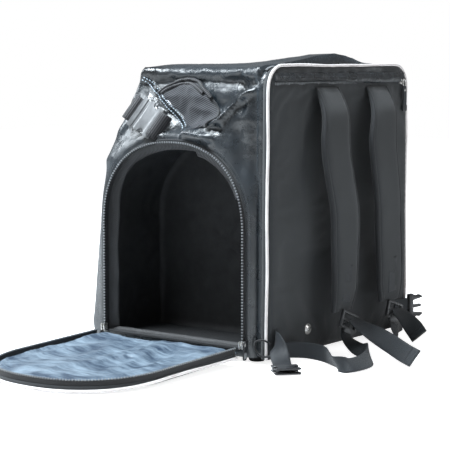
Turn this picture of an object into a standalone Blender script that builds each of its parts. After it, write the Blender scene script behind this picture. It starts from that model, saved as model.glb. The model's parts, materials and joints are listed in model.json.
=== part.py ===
"""Skate bag worn as a backpack, with a fold-down door on each side for a skate.

Metres, +Z up. The origin is on the floor under the middle of the bag. The padded back
panel with the shoulder straps faces -Y. The -X door lies open on the floor, the +X door
stands closed.
"""
import math

import bmesh
import bpy
from mathutils import Matrix, Vector

# Body shell
BACK_HALF_W = 0.201
EDGE_LEAN = 0.008
BACK_Y = -0.175
BACK_THICK = 0.012
BACK_BOTTOM_Z = 0.009
BACK_TOP_Z = 0.450
TOP_CORNER_R = 0.033
FRONT_Y = 0.172
FRONT_LEAN = 0.47
KNEE_Z = 0.300
SHOULDER_Z = 0.345
ROOF_Z = 0.455
CROWN_Z = 0.470
SIDE_X = 0.210
ROOF_HALF_W = 0.140
FRONT_HALF_W = 0.204
FRONT_NARROWING = 0.100
WALL = 0.003
GAP = 0.0004
FLOOR_PANEL_Z = 0.009
FLOOR_PANEL_TOP = 0.0121

# Gusset between the back panel and the body
GUSSET_FRONT_Y = BACK_Y + BACK_THICK + GAP
GUSSET_REAR_Y = -0.1508
SHELL_BACK_Y = -0.1504

# Arched door opening, the same on both sides
ARCH_HALF_W = 0.140
ARCH_SILL_Z = 0.024
ARCH_SPRING_Z = 0.200
ARCH_RISE = 0.135
ARCH_POWER = 2.3
CHAIN_X = 0.2175
CHAIN_HALF_GAP = 0.001
TAPE_THICK = 0.0012
TAPE_INSET = 0.0009
BODY_TAPE_X = 0.204
DOOR_OUTER_X = 0.2365
DOOR_THICK = 0.004
LINING_THICK = 0.0014
DOOR_START_Z = 0.026
RIM_START_Z = 0.040
HINGE_X = 0.2255
HINGE_Z = 0.022
DOOR_OPEN_DEG = 91.75
PIPING_R = 0.002

# Small hardware
FOOT_R = 0.013
FOOT_X = 0.174
FOOT_Y = 0.136
FOOT_H = 0.0087
SNAP_X = -0.100
SNAP_Z = 0.0435
SLIDER_Z = 0.0245
SLIDER_LENGTH = 0.012
PULL_LENGTH = 0.028
LONG_PULL_LENGTH = 0.050
MAIN_ZIP_LOW_Z = 0.262
MAIN_ZIP_LEFT_Z = 0.445
PULL_THICK = 0.002
MAIN_SLIDER_Z = 0.395
POCKET_ZIP_Z = 0.425
POCKET_SLIDER_X = 0.176
POCKET_ZIP_HALF_W = 0.184
WEBBING_THICK = 0.0016

# Inside boards
BOARD_WIDTH = 0.372
BOARD_DEPTH = 0.280
BOARD_THICK = 0.003
DIVIDER_WALL_X = 0.070
DIVIDER_ROOF_X = 0.162
DIVIDER_LOW = 0.0163
DIVIDER_HIGH = 0.3425

# Ladder locks at the lower ends of the shoulder straps
LOCK_WIDTH = 0.046
LOCK_HEIGHT = 0.028
LOCK_THICK = 0.004
LOCK_RAIL = 0.004
LOCK_TOP_Z = 0.066
LOCK_SETBACK = 0.0085

# Waist belt halves: the socket lies on the floor, the plug stands out past the +X edge
LEFT_WAIST_ANCHOR = (-0.184, -0.1795, 0.040)
RIGHT_WAIST_ANCHOR = (0.160, -0.1795, 0.0435)
WAIST_SOCKET = (-0.2316, -0.2306, 0.0064)
WAIST_SOCKET_DEG = -43
WAIST_PLUG = (0.1965, -0.1895, 0.0425)
WAIST_PLUG_DEG = 80
WAIST_WEBBING_WIDTH = 0.030
LOWER_WEBBING_WIDTH = 0.025
TAIL_WIDTH = 0.030

# Compression strap over the -X shoulder
TOP_BUCKLE = (-0.1978, 0.0640, 0.3700)
TOP_BUCKLE_LEAN_DEG = 26
TOP_BUCKLE_ROLL_DEG = 25
TOP_BUCKLE_WIDTH = 0.054
TOP_STRAP_WIDTH = 0.044
TOP_STRAP_THICK = 0.0020

# Shoulder straps: (y, z, thickness) down the pad, and (z, centre x, width) of each side
PAD_ROUTE = [(-0.1822, 0.4165, 0.004), (-0.194, 0.397, 0.007), (-0.205, 0.375, 0.009),
             (-0.212, 0.345, 0.009), (-0.216, 0.300, 0.009), (-0.217, 0.240, 0.009),
             (-0.217, 0.180, 0.009), (-0.216, 0.125, 0.009), (-0.215, 0.088, 0.008),
             (-0.214, 0.070, 0.005)]
PAD_HINGE = (-0.1785, 0.4185)
LEFT_PAD = [(0.4185, -0.054, 0.062), (0.324, -0.076, 0.070), (0.207, -0.052, 0.071),
            (0.105, -0.051, 0.062), (0.070, -0.056, 0.052)]
RIGHT_PAD = [(0.4185, 0.092, 0.062), (0.324, 0.062, 0.072), (0.207, 0.076, 0.071),
             (0.105, 0.084, 0.070), (0.070, 0.086, 0.058)]

for old in list(bpy.data.objects):
    bpy.data.objects.remove(old, do_unlink=True)


def material(name, colour, roughness, metallic=0.0):
    """A plain Principled material."""
    mat = bpy.data.materials.new(name)
    mat.use_nodes = True
    shader = mat.node_tree.nodes["Principled BSDF"]
    shader.inputs["Base Color"].default_value = (*colour, 1.0)
    shader.inputs["Roughness"].default_value = roughness
    shader.inputs["Metallic"].default_value = metallic
    return mat


SHELL = material("shell_fabric", (0.030, 0.034, 0.040), 0.45)
BACKING = material("back_fabric", (0.045, 0.048, 0.052), 0.75)
SATIN = material("lining_satin", (0.42, 0.48, 0.56), 0.40)
PIPING = material("piping_white", (0.82, 0.78, 0.77), 0.50)
ZIP = material("zip_black", (0.020, 0.020, 0.022), 0.50)
SILVER = material("silver_metal", (0.75, 0.75, 0.74), 0.25, 1.0)
PLASTIC = material("buckle_plastic", (0.050, 0.052, 0.056), 0.30)
WEBBING = material("webbing_black", (0.028, 0.029, 0.032), 0.70)
RIBBED = material("ribbed_fabric", (0.040, 0.038, 0.044), 0.60)
BOARD = material("stiffener_board", (0.30, 0.31, 0.32), 0.60)
RUBBER = material("foot_rubber", (0.020, 0.020, 0.020), 0.70)


# ---------------------------------------------------------------- mesh helpers

def make(name, verts, faces, mat, origin=(0.0, 0.0, 0.0), smooth=False):
    """A named object from world points, with its own origin."""
    start = Vector(origin)
    mesh = bpy.data.meshes.new(name)
    mesh.from_pydata([Vector(v) - start for v in verts], [], faces)
    shape = bmesh.new()
    shape.from_mesh(mesh)
    bmesh.ops.recalc_face_normals(shape, faces=shape.faces)
    shape.to_mesh(mesh)
    shape.free()
    mesh.materials.append(mat)
    if smooth:
        mesh.shade_smooth()
        mesh.set_sharp_from_angle(angle=math.radians(40))
    obj = bpy.data.objects.new(name, mesh)
    obj.location = start
    bpy.context.collection.objects.link(obj)
    return obj


def slab(outer, inner, closed):
    """Points and faces of the solid between two grids of the same size."""
    rows = len(outer)
    cols = len(outer[0])
    verts = [p for row in outer for p in row] + [p for row in inner for p in row]
    half = rows * cols
    faces = []
    spans = cols if closed else cols - 1
    for i in range(rows - 1):
        for j in range(spans):
            k = (j + 1) % cols
            quad = [i * cols + j, i * cols + k, (i + 1) * cols + k, (i + 1) * cols + j]
            faces.append(quad)
            faces.append([q + half for q in reversed(quad)])
    for j in range(spans):
        k = (j + 1) % cols
        last = (rows - 1) * cols
        faces.append([k, j, j + half, k + half])
        faces.append([last + j, last + k, last + k + half, last + j + half])
    if not closed:
        for i in range(rows - 1):
            a = i * cols
            b = (i + 1) * cols
            faces.append([a, b, b + half, a + half])
            faces.append([b + cols - 1, a + cols - 1, a + cols - 1 + half, b + cols - 1 + half])
    return verts, faces


def sweep(frames, profile):
    """A profile of (a, b) pairs carried along frames of (centre, u, v), capped at both ends."""
    verts = []
    faces = []
    count = len(profile)
    for n, (centre, u, v) in enumerate(frames):
        for a, b in profile:
            verts.append(Vector(centre) + u * a + v * b)
        if n:
            base = (n - 1) * count
            for j in range(count):
                k = (j + 1) % count
                faces.append([base + j, base + k, base + count + k, base + count + j])
    faces.append(list(range(count))[::-1])
    faces.append([(len(frames) - 1) * count + j for j in range(count)])
    return verts, faces


def planar_frames(points, normal):
    """Frames along points that lie in one plane: u is the plane's normal, v points sideways."""
    normal = Vector(normal)
    frames = []
    for n, point in enumerate(points):
        before = Vector(points[max(n - 1, 0)])
        after = Vector(points[min(n + 1, len(points) - 1)])
        tangent = (after - before).normalized()
        frames.append((Vector(point), normal, tangent.cross(normal)))
    return frames


def rectangle(a, b):
    """A rectangle's corners, a wide and b deep."""
    return [(-a / 2, -b / 2), (a / 2, -b / 2), (a / 2, b / 2), (-a / 2, b / 2)]


def circle(radius, sides):
    """A circle's points."""
    return [(radius * math.cos(2 * math.pi * n / sides), radius * math.sin(2 * math.pi * n / sides))
            for n in range(sides)]


def prism(outline, low, high, to_world):
    """A closed outline extruded from low to high; to_world turns (a, b, depth) into a point."""
    count = len(outline)
    verts = [to_world(a, b, low) for a, b in outline] + [to_world(a, b, high) for a, b in outline]
    faces = [list(range(count))[::-1], [count + n for n in range(count)]]
    for j in range(count):
        k = (j + 1) % count
        faces.append([j, k, count + k, count + j])
    return verts, faces


def box(name, size, centre, mat, turn=None, origin=None):
    """A box with its middle at centre, turned by a 3x3 matrix."""
    turn = turn or Matrix.Identity(3)
    outline = rectangle(size[0], size[1])
    middle = Vector(centre)
    verts, faces = prism(outline, -size[2] / 2, size[2] / 2,
                         lambda a, b, c: middle + turn @ Vector((a, b, c)))
    return make(name, verts, faces, mat, origin or centre)


def blend_curve(points, steps):
    """A smooth Catmull-Rom curve through points, steps points to each span."""
    curve = []
    pts = [Vector(p) for p in points]
    for n in range(len(pts) - 1):
        p0 = pts[max(n - 1, 0)]
        p1 = pts[n]
        p2 = pts[n + 1]
        p3 = pts[min(n + 2, len(pts) - 1)]
        for i in range(steps):
            t = i / steps
            curve.append(0.5 * (2 * p1 + (p2 - p0) * t + (2 * p0 - 5 * p1 + 4 * p2 - p3) * t * t
                                + (3 * p1 - p0 - 3 * p2 + p3) * t ** 3))
    curve.append(pts[-1])
    return curve


def table(rows, z, column):
    """A smooth reading of a column of (z, ...) rows that run downwards."""
    for above, below in zip(rows, rows[1:]):
        if z >= below[0]:
            t = min(max((above[0] - z) / (above[0] - below[0]), 0.0), 1.0)
            return above[column] + (below[column] - above[column]) * t * t * (3 - 2 * t)
    return rows[-1][column]


# ---------------------------------------------------------------- body surface

def front_y(z):
    """Depth of the front face, which slopes back above the knee."""
    return FRONT_Y - max(z - KNEE_Z, 0.0) * FRONT_LEAN


def back_edge_x(z):
    """Half width at the back panel."""
    return BACK_HALF_W - EDGE_LEAN * z - 0.004


def front_edge_x(z):
    """Half width at the front face."""
    return FRONT_HALF_W - FRONT_NARROWING * z


def middle_x(z):
    """Half width halfway along the side: flat to the knee, then rounding in."""
    rise = max(z - KNEE_Z, 0.0) / (ROOF_Z - KNEE_Z)
    return SIDE_X - (SIDE_X - ROOF_HALF_W) * rise ** 1.6


def side_x(y, z):
    """Half width of the body at a place on its side."""
    s = (y - SHELL_BACK_Y) / (front_y(z) - SHELL_BACK_Y)
    chord = back_edge_x(z) + (front_edge_x(z) - back_edge_x(z)) * s
    middle_chord = (back_edge_x(z) + front_edge_x(z)) / 2
    return chord + (middle_x(z) - middle_chord) * (1 - abs(2 * s - 1) ** 4)


def back_outline(inset, low_z=BACK_BOTTOM_Z):
    """The back panel's outline as (x, z), from bottom left over the top to bottom right."""
    slant = math.sqrt(1 + EDGE_LEAN ** 2)
    lean = math.atan(EDGE_LEAN)

    def edge_x(z):
        return BACK_HALF_W - EDGE_LEAN * z - inset * slant

    top = BACK_TOP_Z - inset
    radius = TOP_CORNER_R - inset
    corner = edge_x(top)
    setback = radius * math.tan((math.pi / 2 - lean) / 2)
    centre_x = corner - setback
    centre_z = top - radius
    right = []
    steps = 7
    for n in range(steps + 1):
        angle = math.pi / 2 - (math.pi / 2 - lean) * n / steps
        right.append((centre_x + radius * math.cos(angle), centre_z + radius * math.sin(angle)))
    last_z = right[-1][1]
    for n in range(1, 7):
        z = last_z + (low_z - last_z) * n / 6
        right.append((edge_x(z), z))
    left = [(-x, z) for x, z in reversed(right)]
    return left + right


def arch_outline(inset, start_z):
    """The door arch as (y, z), up the near leg, over the top and down the far leg."""
    half = ARCH_HALF_W - inset
    rise = ARCH_RISE - inset
    legs = [start_z + (ARCH_SPRING_Z - start_z) * n / 3 for n in range(3)]
    points = [(-half, z) for z in legs]
    steps = 20
    for n in range(steps + 1):
        angle = math.pi * (1 - n / steps)
        cos = math.cos(angle)
        sin = math.sin(angle)
        reach = (abs(cos) ** ARCH_POWER + abs(sin) ** ARCH_POWER) ** (-1 / ARCH_POWER)
        points.append((half * reach * cos, ARCH_SPRING_Z + rise * reach * sin))
    return points + [(half, z) for z in reversed(legs)]


# ---------------------------------------------------------------- shell pieces

def build_back():
    """The padded back panel, its frame sheet, the gusset and the piping."""
    outline = back_outline(0.0)
    verts, faces = prism(outline, BACK_Y, BACK_Y + BACK_THICK, lambda a, b, c: Vector((a, c, b)))
    make("back_panel", verts, faces, BACKING, smooth=True)
    sheet = back_outline(0.012, 0.030)
    verts, faces = prism(sheet, BACK_Y + BACK_THICK + GAP, BACK_Y + BACK_THICK + 0.0019,
                         lambda a, b, c: Vector((a, c, b)))
    make("back_frame_sheet", verts, faces, BOARD)

    depth = GUSSET_REAR_Y - GUSSET_FRONT_Y
    middle = (GUSSET_REAR_Y + GUSSET_FRONT_Y) / 2
    path = [Vector((x, middle, z)) for x, z in back_outline(0.003, 0.0125)]
    make("back_gusset", *sweep(planar_frames(path, (0, 1, 0)), rectangle(depth, 0.0016)), SHELL,
         smooth=True)
    path = [Vector((x, BACK_Y + 0.0015, z)) for x, z in back_outline(-0.0024, 0.010)]
    make("back_piping", *sweep(planar_frames(path, (0, 1, 0)), circle(PIPING_R, 8)), PIPING,
         smooth=True)


def shell_edge(y, z):
    """Where a ray from the arch's springing through (y, z) meets the side's outer edge."""
    up = (SHOULDER_Z - ARCH_SPRING_Z) / (z - ARCH_SPRING_Z)
    reach = up
    if abs(y) > 1e-6:
        for _ in range(8):
            height = ARCH_SPRING_Z + (z - ARCH_SPRING_Z) * reach
            limit = SHELL_BACK_Y if y < 0 else front_y(height) - WALL - GAP
            reach = min(up, limit / y)
    return y * reach, ARCH_SPRING_Z + (z - ARCH_SPRING_Z) * reach


def build_side(prefix, sign):
    """A side panel around its arched opening, and the zip tape along the arch."""
    inner_ring = arch_outline(0.0, ARCH_SILL_Z)
    sill = [ARCH_HALF_W * (1 - 2 * n / 6) for n in range(1, 6)]
    inner_ring = inner_ring + [(y, ARCH_SILL_Z) for y in sill]
    bottom = FLOOR_PANEL_TOP + GAP
    outer_ring = []
    for n, (y, z) in enumerate(inner_ring):
        far = front_y(z) - WALL - GAP
        near = SHELL_BACK_Y
        if z <= ARCH_SILL_Z and abs(y) < ARCH_HALF_W - 1e-6:
            share = (y + ARCH_HALF_W) / (2 * ARCH_HALF_W)
            outer_ring.append((near + (far - near) * share, bottom))
        elif z <= ARCH_SPRING_Z + 1e-6:
            outer_ring.append((near if y < 0 else far, bottom if z <= ARCH_SILL_Z else z))
        else:
            outer_ring.append(shell_edge(y, z))
    corner_near = min(range(len(outer_ring)), key=lambda n: (
        (outer_ring[n][0] - SHELL_BACK_Y) ** 2 + (outer_ring[n][1] - SHOULDER_Z) ** 2))
    outer_ring[corner_near] = (SHELL_BACK_Y, SHOULDER_Z)
    corner_y = front_y(SHOULDER_Z) - WALL - GAP
    corner_far = min(range(len(outer_ring)), key=lambda n: (
        (outer_ring[n][0] - corner_y) ** 2 + (outer_ring[n][1] - SHOULDER_Z) ** 2))
    outer_ring[corner_far] = (corner_y, SHOULDER_Z)

    outer = []
    inner = []
    for share in (0.0, 0.2, 0.5, 1.0):
        row = []
        for (y0, z0), (y1, z1) in zip(inner_ring, outer_ring):
            y = y0 + (y1 - y0) * share
            z = z0 + (z1 - z0) * share
            x = SIDE_X + (side_x(y1, z1) - SIDE_X) * share ** 1.5
            row.append(Vector((sign * x, y, z)))
        outer.append(row)
        inner.append([p - Vector((sign * WALL, 0, 0)) for p in row])
    make(prefix + "_side_panel", *slab(outer, inner, True), SHELL, smooth=True)

    tape_edge = CHAIN_X - CHAIN_HALF_GAP
    width = tape_edge - BODY_TAPE_X
    path = [Vector((sign * (tape_edge - width / 2), y, z))
            for y, z in arch_outline(TAPE_INSET, DOOR_START_Z)]
    make(prefix + "_zip_tape", *sweep(planar_frames(path, (1, 0, 0)), rectangle(width, TAPE_THICK)),
         ZIP, smooth=True)


def build_front():
    """The front face, bent at the knee."""
    outer = []
    inner = []
    for z in (FLOOR_PANEL_TOP + GAP, 0.10, 0.20, KNEE_Z, SHOULDER_Z):
        half = front_edge_x(z) + 0.002
        row = []
        for n in range(7):
            x = half * (2 * n / 6 - 1)
            row.append(Vector((x, front_y(z) + 0.004 * (1 - (x / half) ** 2), z)))
        outer.append(row)
        inner.append([p - Vector((0, WALL, 0)) for p in row])
    make("front_panel", *slab(outer, inner, False), SHELL, smooth=True)


def ring_at(z, inset):
    """The body's outline at a height, pulled in by inset."""
    near = SHELL_BACK_Y + inset
    far = front_y(z) - inset
    side = [near + (far - near) * n / 8 for n in range(9)]
    left = [(-(side_x(y, z) - inset), y) for y in side]
    front = [(left[-1][0] * (1 - 2 * n / 6), far) for n in range(1, 6)]
    right = [(-x, y) for x, y in reversed(left)]
    back = [(right[-1][0] * (1 - 2 * n / 6), near) for n in range(1, 6)]
    return left + front + right + back


def build_top():
    """The crowned top, from the shoulders up."""
    levels = [SHOULDER_Z + GAP + (ROOF_Z - SHOULDER_Z - GAP) * n / 5 for n in range(6)]
    outer = [[Vector((x, y, z)) for x, y in ring_at(z, 0.0)] for z in levels]
    drops = [0.0] * 5 + [WALL]
    inner = [[Vector((x, y, z - drop)) for x, y in ring_at(z, 0.0035)]
             for z, drop in zip(levels, drops)]
    middle_y = (SHELL_BACK_Y + front_y(ROOF_Z)) / 2
    for share in (0.25, 0.55, 0.85):
        rise = (CROWN_Z - ROOF_Z) * math.sin(share * math.pi / 2)
        for grid, drop in ((outer, 0.0), (inner, WALL)):
            edge = outer[5] if drop == 0.0 else inner[5]
            grid.append([Vector((p.x * (1 - share), middle_y + (p.y - middle_y) * (1 - share),
                                 ROOF_Z + rise - drop)) for p in edge])
    verts, faces = slab(outer, inner, True)
    cols = len(outer[0])
    half = len(outer) * cols
    last = half - cols
    rim = [set((last + j, last + (j + 1) % cols, last + (j + 1) % cols + half, last + j + half))
           for j in range(cols)]
    faces = [f for f in faces if set(f) not in rim]
    faces.append([last + j for j in range(cols)])
    faces.append([last + half + j for j in reversed(range(cols))])
    make("top_panel", verts, faces, SHELL, smooth=True)


def build_base():
    """The floor panel, the board on it and four feet."""
    depth = FRONT_Y - WALL - GUSSET_FRONT_Y - GAP
    middle = (FRONT_Y - WALL + GUSSET_FRONT_Y) / 2
    height = FLOOR_PANEL_TOP - FLOOR_PANEL_Z
    near = middle - depth / 2
    ways = [near + depth * n / 8 for n in range(9)]
    edge = [(side_x(y, FLOOR_PANEL_Z) - WALL - 2 * GAP, y) for y in ways]
    outline = [(-x, y) for x, y in reversed(edge)] + edge
    verts, faces = prism(outline, FLOOR_PANEL_Z, FLOOR_PANEL_Z + height,
                         lambda a, b, c: Vector((a, b, c)))
    make("base_panel", verts, faces, SHELL)
    box("base_board", (BOARD_WIDTH, BOARD_DEPTH, BOARD_THICK), (0, 0.003, 0.0142), BOARD)
    n = 0
    for x in (-FOOT_X, FOOT_X):
        for y in (-FOOT_Y, FOOT_Y):
            n += 1
            verts, faces = prism(circle(FOOT_R, 16), 0.0, FOOT_H,
                                 lambda a, b, c, x=x, y=y: Vector((x + a, y + b, c)))
            foot = make("foot_%d" % n, verts, faces, RUBBER, (x, y, 0), smooth=True)
            bevel = foot.modifiers.new("edge", "BEVEL")
            bevel.width = 0.0012
            bevel.segments = 1
            bevel.limit_method = "ANGLE"


def build_divider(prefix, sign):
    """The inner wall and roof of a skate compartment, one folded board."""
    low = DIVIDER_LOW
    high = DIVIDER_HIGH
    inner_x = DIVIDER_WALL_X
    outline = [(inner_x, low), (inner_x, high), (DIVIDER_ROOF_X, high), (DIVIDER_ROOF_X, high - WALL),
               (inner_x + WALL, high - WALL), (inner_x + WALL, low)]
    verts, faces = prism(outline, SHELL_BACK_Y + 0.006, 0.140,
                         lambda a, b, c: Vector((sign * a, c, b)))
    make(prefix + "_compartment_wall", verts, faces, SHELL)


# ---------------------------------------------------------------- doors and their zips

def build_door(prefix, sign):
    """A padded door, its satin lining, zip rim and piping; the -X one is swung open."""
    pivot = Vector((sign * HINGE_X, 0, HINGE_Z))
    turn = Matrix.Rotation(math.radians(-DOOR_OPEN_DEG if sign < 0 else 0.0), 3, "Y")

    def swing(point):
        return pivot + turn @ (Vector(point) - pivot)

    def plate(name, inset, start_z, outer_x, thick, mat):
        outline = arch_outline(inset, start_z)
        verts, faces = prism(outline, sign * outer_x, sign * (outer_x - thick),
                             lambda a, b, c: swing((c, a, b)))
        make(prefix + name, verts, faces, mat, pivot, smooth=True)

    inside = DOOR_OUTER_X - DOOR_THICK - 0.0003
    plate("_door_panel", 0.0, DOOR_START_Z, DOOR_OUTER_X, DOOR_THICK, SHELL)
    plate("_door_lining", 0.0022, RIM_START_Z - 0.008, inside, LINING_THICK, SATIN)

    edge = CHAIN_X + CHAIN_HALF_GAP
    width = inside - edge
    path = [Vector((sign * (edge + width / 2), y, z))
            for y, z in arch_outline(TAPE_INSET, RIM_START_Z)]
    frames = [(swing(c), turn @ u, turn @ v) for c, u, v in planar_frames(path, (1, 0, 0))]
    make(prefix + "_door_zip_rim", *sweep(frames, rectangle(width, TAPE_THICK)), ZIP, pivot,
         smooth=True)
    path = [Vector((sign * (DOOR_OUTER_X - PIPING_R + 0.0001), y, z))
            for y, z in arch_outline(-PIPING_R - 0.0005, DOOR_START_Z + 0.006)]
    frames = [(swing(c), turn @ u, turn @ v) for c, u, v in planar_frames(path, (1, 0, 0))]
    make(prefix + "_door_piping", *sweep(frames, circle(PIPING_R, 6)), PIPING, pivot, smooth=True)


def build_door_slider(prefix, sign, end_name, side):
    """A slider straddling the tape at the foot of an arch leg, and its hanging pull."""
    centre_y = side * (ARCH_HALF_W - TAPE_INSET)
    base_z = SLIDER_Z
    top_z = SLIDER_Z + SLIDER_LENGTH
    half = 0.005
    outer_face = 0.0036
    inner_face = -0.0036
    groove = 0.0016
    neck = 0.0006
    outline = [(-half, inner_face), (half, inner_face), (half, -groove), (neck, -groove),
               (neck, groove), (half, groove), (half, outer_face), (-half, outer_face),
               (-half, groove), (-neck, groove), (-neck, -groove), (-half, -groove)]
    verts, faces = prism(outline, base_z, top_z,
                         lambda a, b, c: Vector((sign * CHAIN_X + a, centre_y + side * b, c)))
    make("%s_slider_%s" % (prefix, end_name), verts, faces, SILVER,
         (sign * CHAIN_X, centre_y, base_z))
    pull_y = centre_y + side * (outer_face + 0.0005 + PULL_THICK / 2)
    pull_top = top_z - 0.001
    box("%s_pull_%s" % (prefix, end_name), (0.008, PULL_THICK, PULL_LENGTH),
        (sign * CHAIN_X, pull_y, pull_top - PULL_LENGTH / 2), PLASTIC,
        origin=(sign * CHAIN_X, pull_y, pull_top - 0.001))


def build_main_zip():
    """The zip on the gusset, over the top and part of the way down the +X side."""
    path = []
    for x, z in back_outline(0.0009, MAIN_ZIP_LOW_Z):
        if x > 0 or z > MAIN_ZIP_LEFT_Z:
            path.append(Vector((x, -0.1575, z)))
    make("main_zip", *sweep(planar_frames(path, (0, 1, 0)), rectangle(0.006, 0.0012)), ZIP,
         smooth=True)
    slant = math.sqrt(1 + EDGE_LEAN ** 2)
    down = Vector((EDGE_LEAN, 0, -1)) / slant
    out = Vector((1, 0, EDGE_LEAN)) / slant
    turn = Matrix((out, Vector((0, 1, 0)), out.cross(Vector((0, 1, 0))))).transposed()
    edge = Vector((BACK_HALF_W - EDGE_LEAN * MAIN_SLIDER_Z, -0.1575, MAIN_SLIDER_Z))
    box("main_zip_slider", (0.003, 0.010, 0.014), edge + out * 0.0016, SILVER, turn)
    top = edge + out * 0.0046 - down * 0.004
    box("main_zip_pull", (PULL_THICK, 0.010, LONG_PULL_LENGTH), top + down * LONG_PULL_LENGTH / 2,
        PLASTIC, turn, origin=top + down * 0.001)


def build_strap_pocket():
    """The zip across the back panel above the straps, its slider and its pull."""
    face = BACK_Y - 0.0003
    box("strap_pocket_zip", (2 * POCKET_ZIP_HALF_W, 0.0012, 0.006), (0, face - 0.0006, POCKET_ZIP_Z), ZIP)
    box("strap_pocket_slider", (0.014, 0.003, 0.010), (POCKET_SLIDER_X, face - 0.0032, POCKET_ZIP_Z),
        SILVER)
    top = Vector((POCKET_SLIDER_X + 0.002, face - 0.0062, POCKET_ZIP_Z + 0.003))
    box("strap_pocket_pull", (0.010, PULL_THICK, LONG_PULL_LENGTH),
        top - Vector((0, 0, LONG_PULL_LENGTH / 2)), PLASTIC, origin=top - Vector((0, 0, 0.001)))


# ---------------------------------------------------------------- straps and buckles

def build_shoulder_strap(prefix, rows, lock_shift, lock_roll):
    """A padded strap that leaves the back panel at the top, with its ladder lock."""
    route = blend_curve([(0, y, z) for y, z, _ in PAD_ROUTE], 2)
    thick = [PAD_ROUTE[min(n // 2, len(PAD_ROUTE) - 1)][2] for n in range(len(route))]
    verts = []
    faces = []
    for n, (centre, u, v) in enumerate(planar_frames(route, (1, 0, 0))):
        middle = table(rows, centre.z, 1)
        width = table(rows, centre.z, 2)
        start = Vector((middle, centre.y, centre.z))
        edge = thick[n] * 0.35
        flat = width / 2 - 0.003
        for a, b in ((-width / 2, -edge), (-flat, -thick[n] / 2), (flat, -thick[n] / 2),
                     (width / 2, -edge), (width / 2, edge), (flat, thick[n] / 2),
                     (-flat, thick[n] / 2), (-width / 2, edge)):
            verts.append(start + u * a + v * b)
        if n:
            base = (n - 1) * 8
            for j in range(8):
                k = (j + 1) % 8
                faces.append([base + j, base + k, base + 8 + k, base + 8 + j])
    faces.append(list(range(8))[::-1])
    faces.append([(len(route) - 1) * 8 + j for j in range(8)])
    hinge = (rows[0][1], PAD_HINGE[0], PAD_HINGE[1])
    make(prefix + "_shoulder_pad", verts, faces, BACKING, hinge, smooth=True)

    end = Vector((rows[-1][1] + lock_shift, PAD_ROUTE[-1][0] - LOCK_SETBACK, LOCK_TOP_Z))
    turn = Matrix.Rotation(lock_roll, 3, "Y")
    centre = end - turn @ Vector((0, 0, LOCK_HEIGHT / 2))
    lock = box(prefix + "_ladder_lock", (LOCK_WIDTH, LOCK_THICK, LOCK_HEIGHT), centre, PLASTIC, turn,
               origin=end)
    slot = (LOCK_WIDTH - 2 * LOCK_RAIL, 5 * LOCK_THICK, (LOCK_HEIGHT - 3.5 * LOCK_RAIL) / 2)
    for n, side in enumerate((-1, 1)):
        middle = centre + turn @ Vector((0, 0, side * 0.0065))
        cutter = box("%s_lock_slot_%d" % (prefix, n), slot, middle, PLASTIC, turn)
        cutter.hide_render = True
        cutter.display_type = "WIRE"
        cut = lock.modifiers.new("slot_%d" % n, "BOOLEAN")
        cut.object = cutter
        cut.operation = "DIFFERENCE"
        cut.solver = "EXACT"


def webbing(name, route, width, mat, side=(0, 0, 1), steps=3, origin=(0, 0, 0)):
    """Flat webbing along a smooth route; side says which way its width lies, point by point."""
    line = blend_curve(route, steps)
    sides = side if isinstance(side, list) else [side] * len(route)
    lies = blend_curve(sides, steps)
    frames = []
    for n, point in enumerate(line):
        tangent = (line[min(n + 1, len(line) - 1)] - line[max(n - 1, 0)]).normalized()
        across = lies[n] - tangent * lies[n].dot(tangent)
        across.normalize()
        frames.append((point, across, tangent.cross(across)))
    make(name, *sweep(frames, rectangle(width, WEBBING_THICK)), mat, origin, smooth=True)


def build_webbing():
    """The slack lower webbing and the free tail of each shoulder strap."""
    up = (0, 0, 1)
    webbing("left_lower_webbing",
            [(-0.178, -0.1825, 0.022), (-0.164, -0.190, 0.0215), (-0.146, -0.210, 0.020),
             (-0.140, -0.236, 0.0165), (-0.156, -0.262, 0.0135), (-0.172, -0.282, 0.0115),
             (-0.164, -0.300, 0.0110), (-0.128, -0.302, 0.0112), (-0.092, -0.288, 0.0125),
             (-0.064, -0.264, 0.0130), (-0.050, -0.238, 0.0130), (-0.046, -0.2150, 0.028),
             (-0.046, -0.2170, 0.050)],
            LOWER_WEBBING_WIDTH, WEBBING,
            [up, up, up, up, (-0.2, 0.3, 0.8), (0, 0.6, 0.75), (0, 0.7, 0.7), (0, 0.7, 0.7),
             (0, 0.4, 0.8), (0.3, 0.1, 0.8), (0.8, -0.2, 0.5), (1, 0, 0), (1, 0, 0)])
    webbing("right_lower_webbing",
            [(0.182, -0.1825, 0.0145), (0.158, -0.1895, 0.0145), (0.132, -0.204, 0.0150),
             (0.114, -0.214, 0.0160), (0.100, -0.2165, 0.027), (0.088, -0.2175, 0.050)],
            LOWER_WEBBING_WIDTH, WEBBING, [up, up, up, (0.2, 0, 1), (0.54, 0, 0.84), (0.79, 0, 0.61)])
    webbing("left_strap_tail",
            [(-0.0460, -0.2285, 0.056), (-0.044, -0.247, 0.046), (-0.045, -0.272, 0.036),
             (-0.052, -0.302, 0.026), (-0.066, -0.334, 0.018), (-0.080, -0.360, 0.0146)],
            TAIL_WIDTH, WEBBING, [(1, 0, 0), (1, -0.1, 0.3), (0.7, -0.3, 0.6), (0.5, -0.4, 0.75),
                                  (0.44, -0.444, 0.776), (0.44, -0.444, 0.776)])
    webbing("right_strap_tail",
            [(0.088, -0.2275, 0.056), (0.087, -0.240, 0.047), (0.084, -0.254, 0.037),
             (0.078, -0.268, 0.027), (0.070, -0.281, 0.0185)],
            TAIL_WIDTH, WEBBING, [(1, 0, 0), (1, -0.1, 0.3), (0.8, -0.2, 0.5), (0.6, -0.35, 0.7),
                                  (0.5, -0.4, 0.75)])


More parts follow.
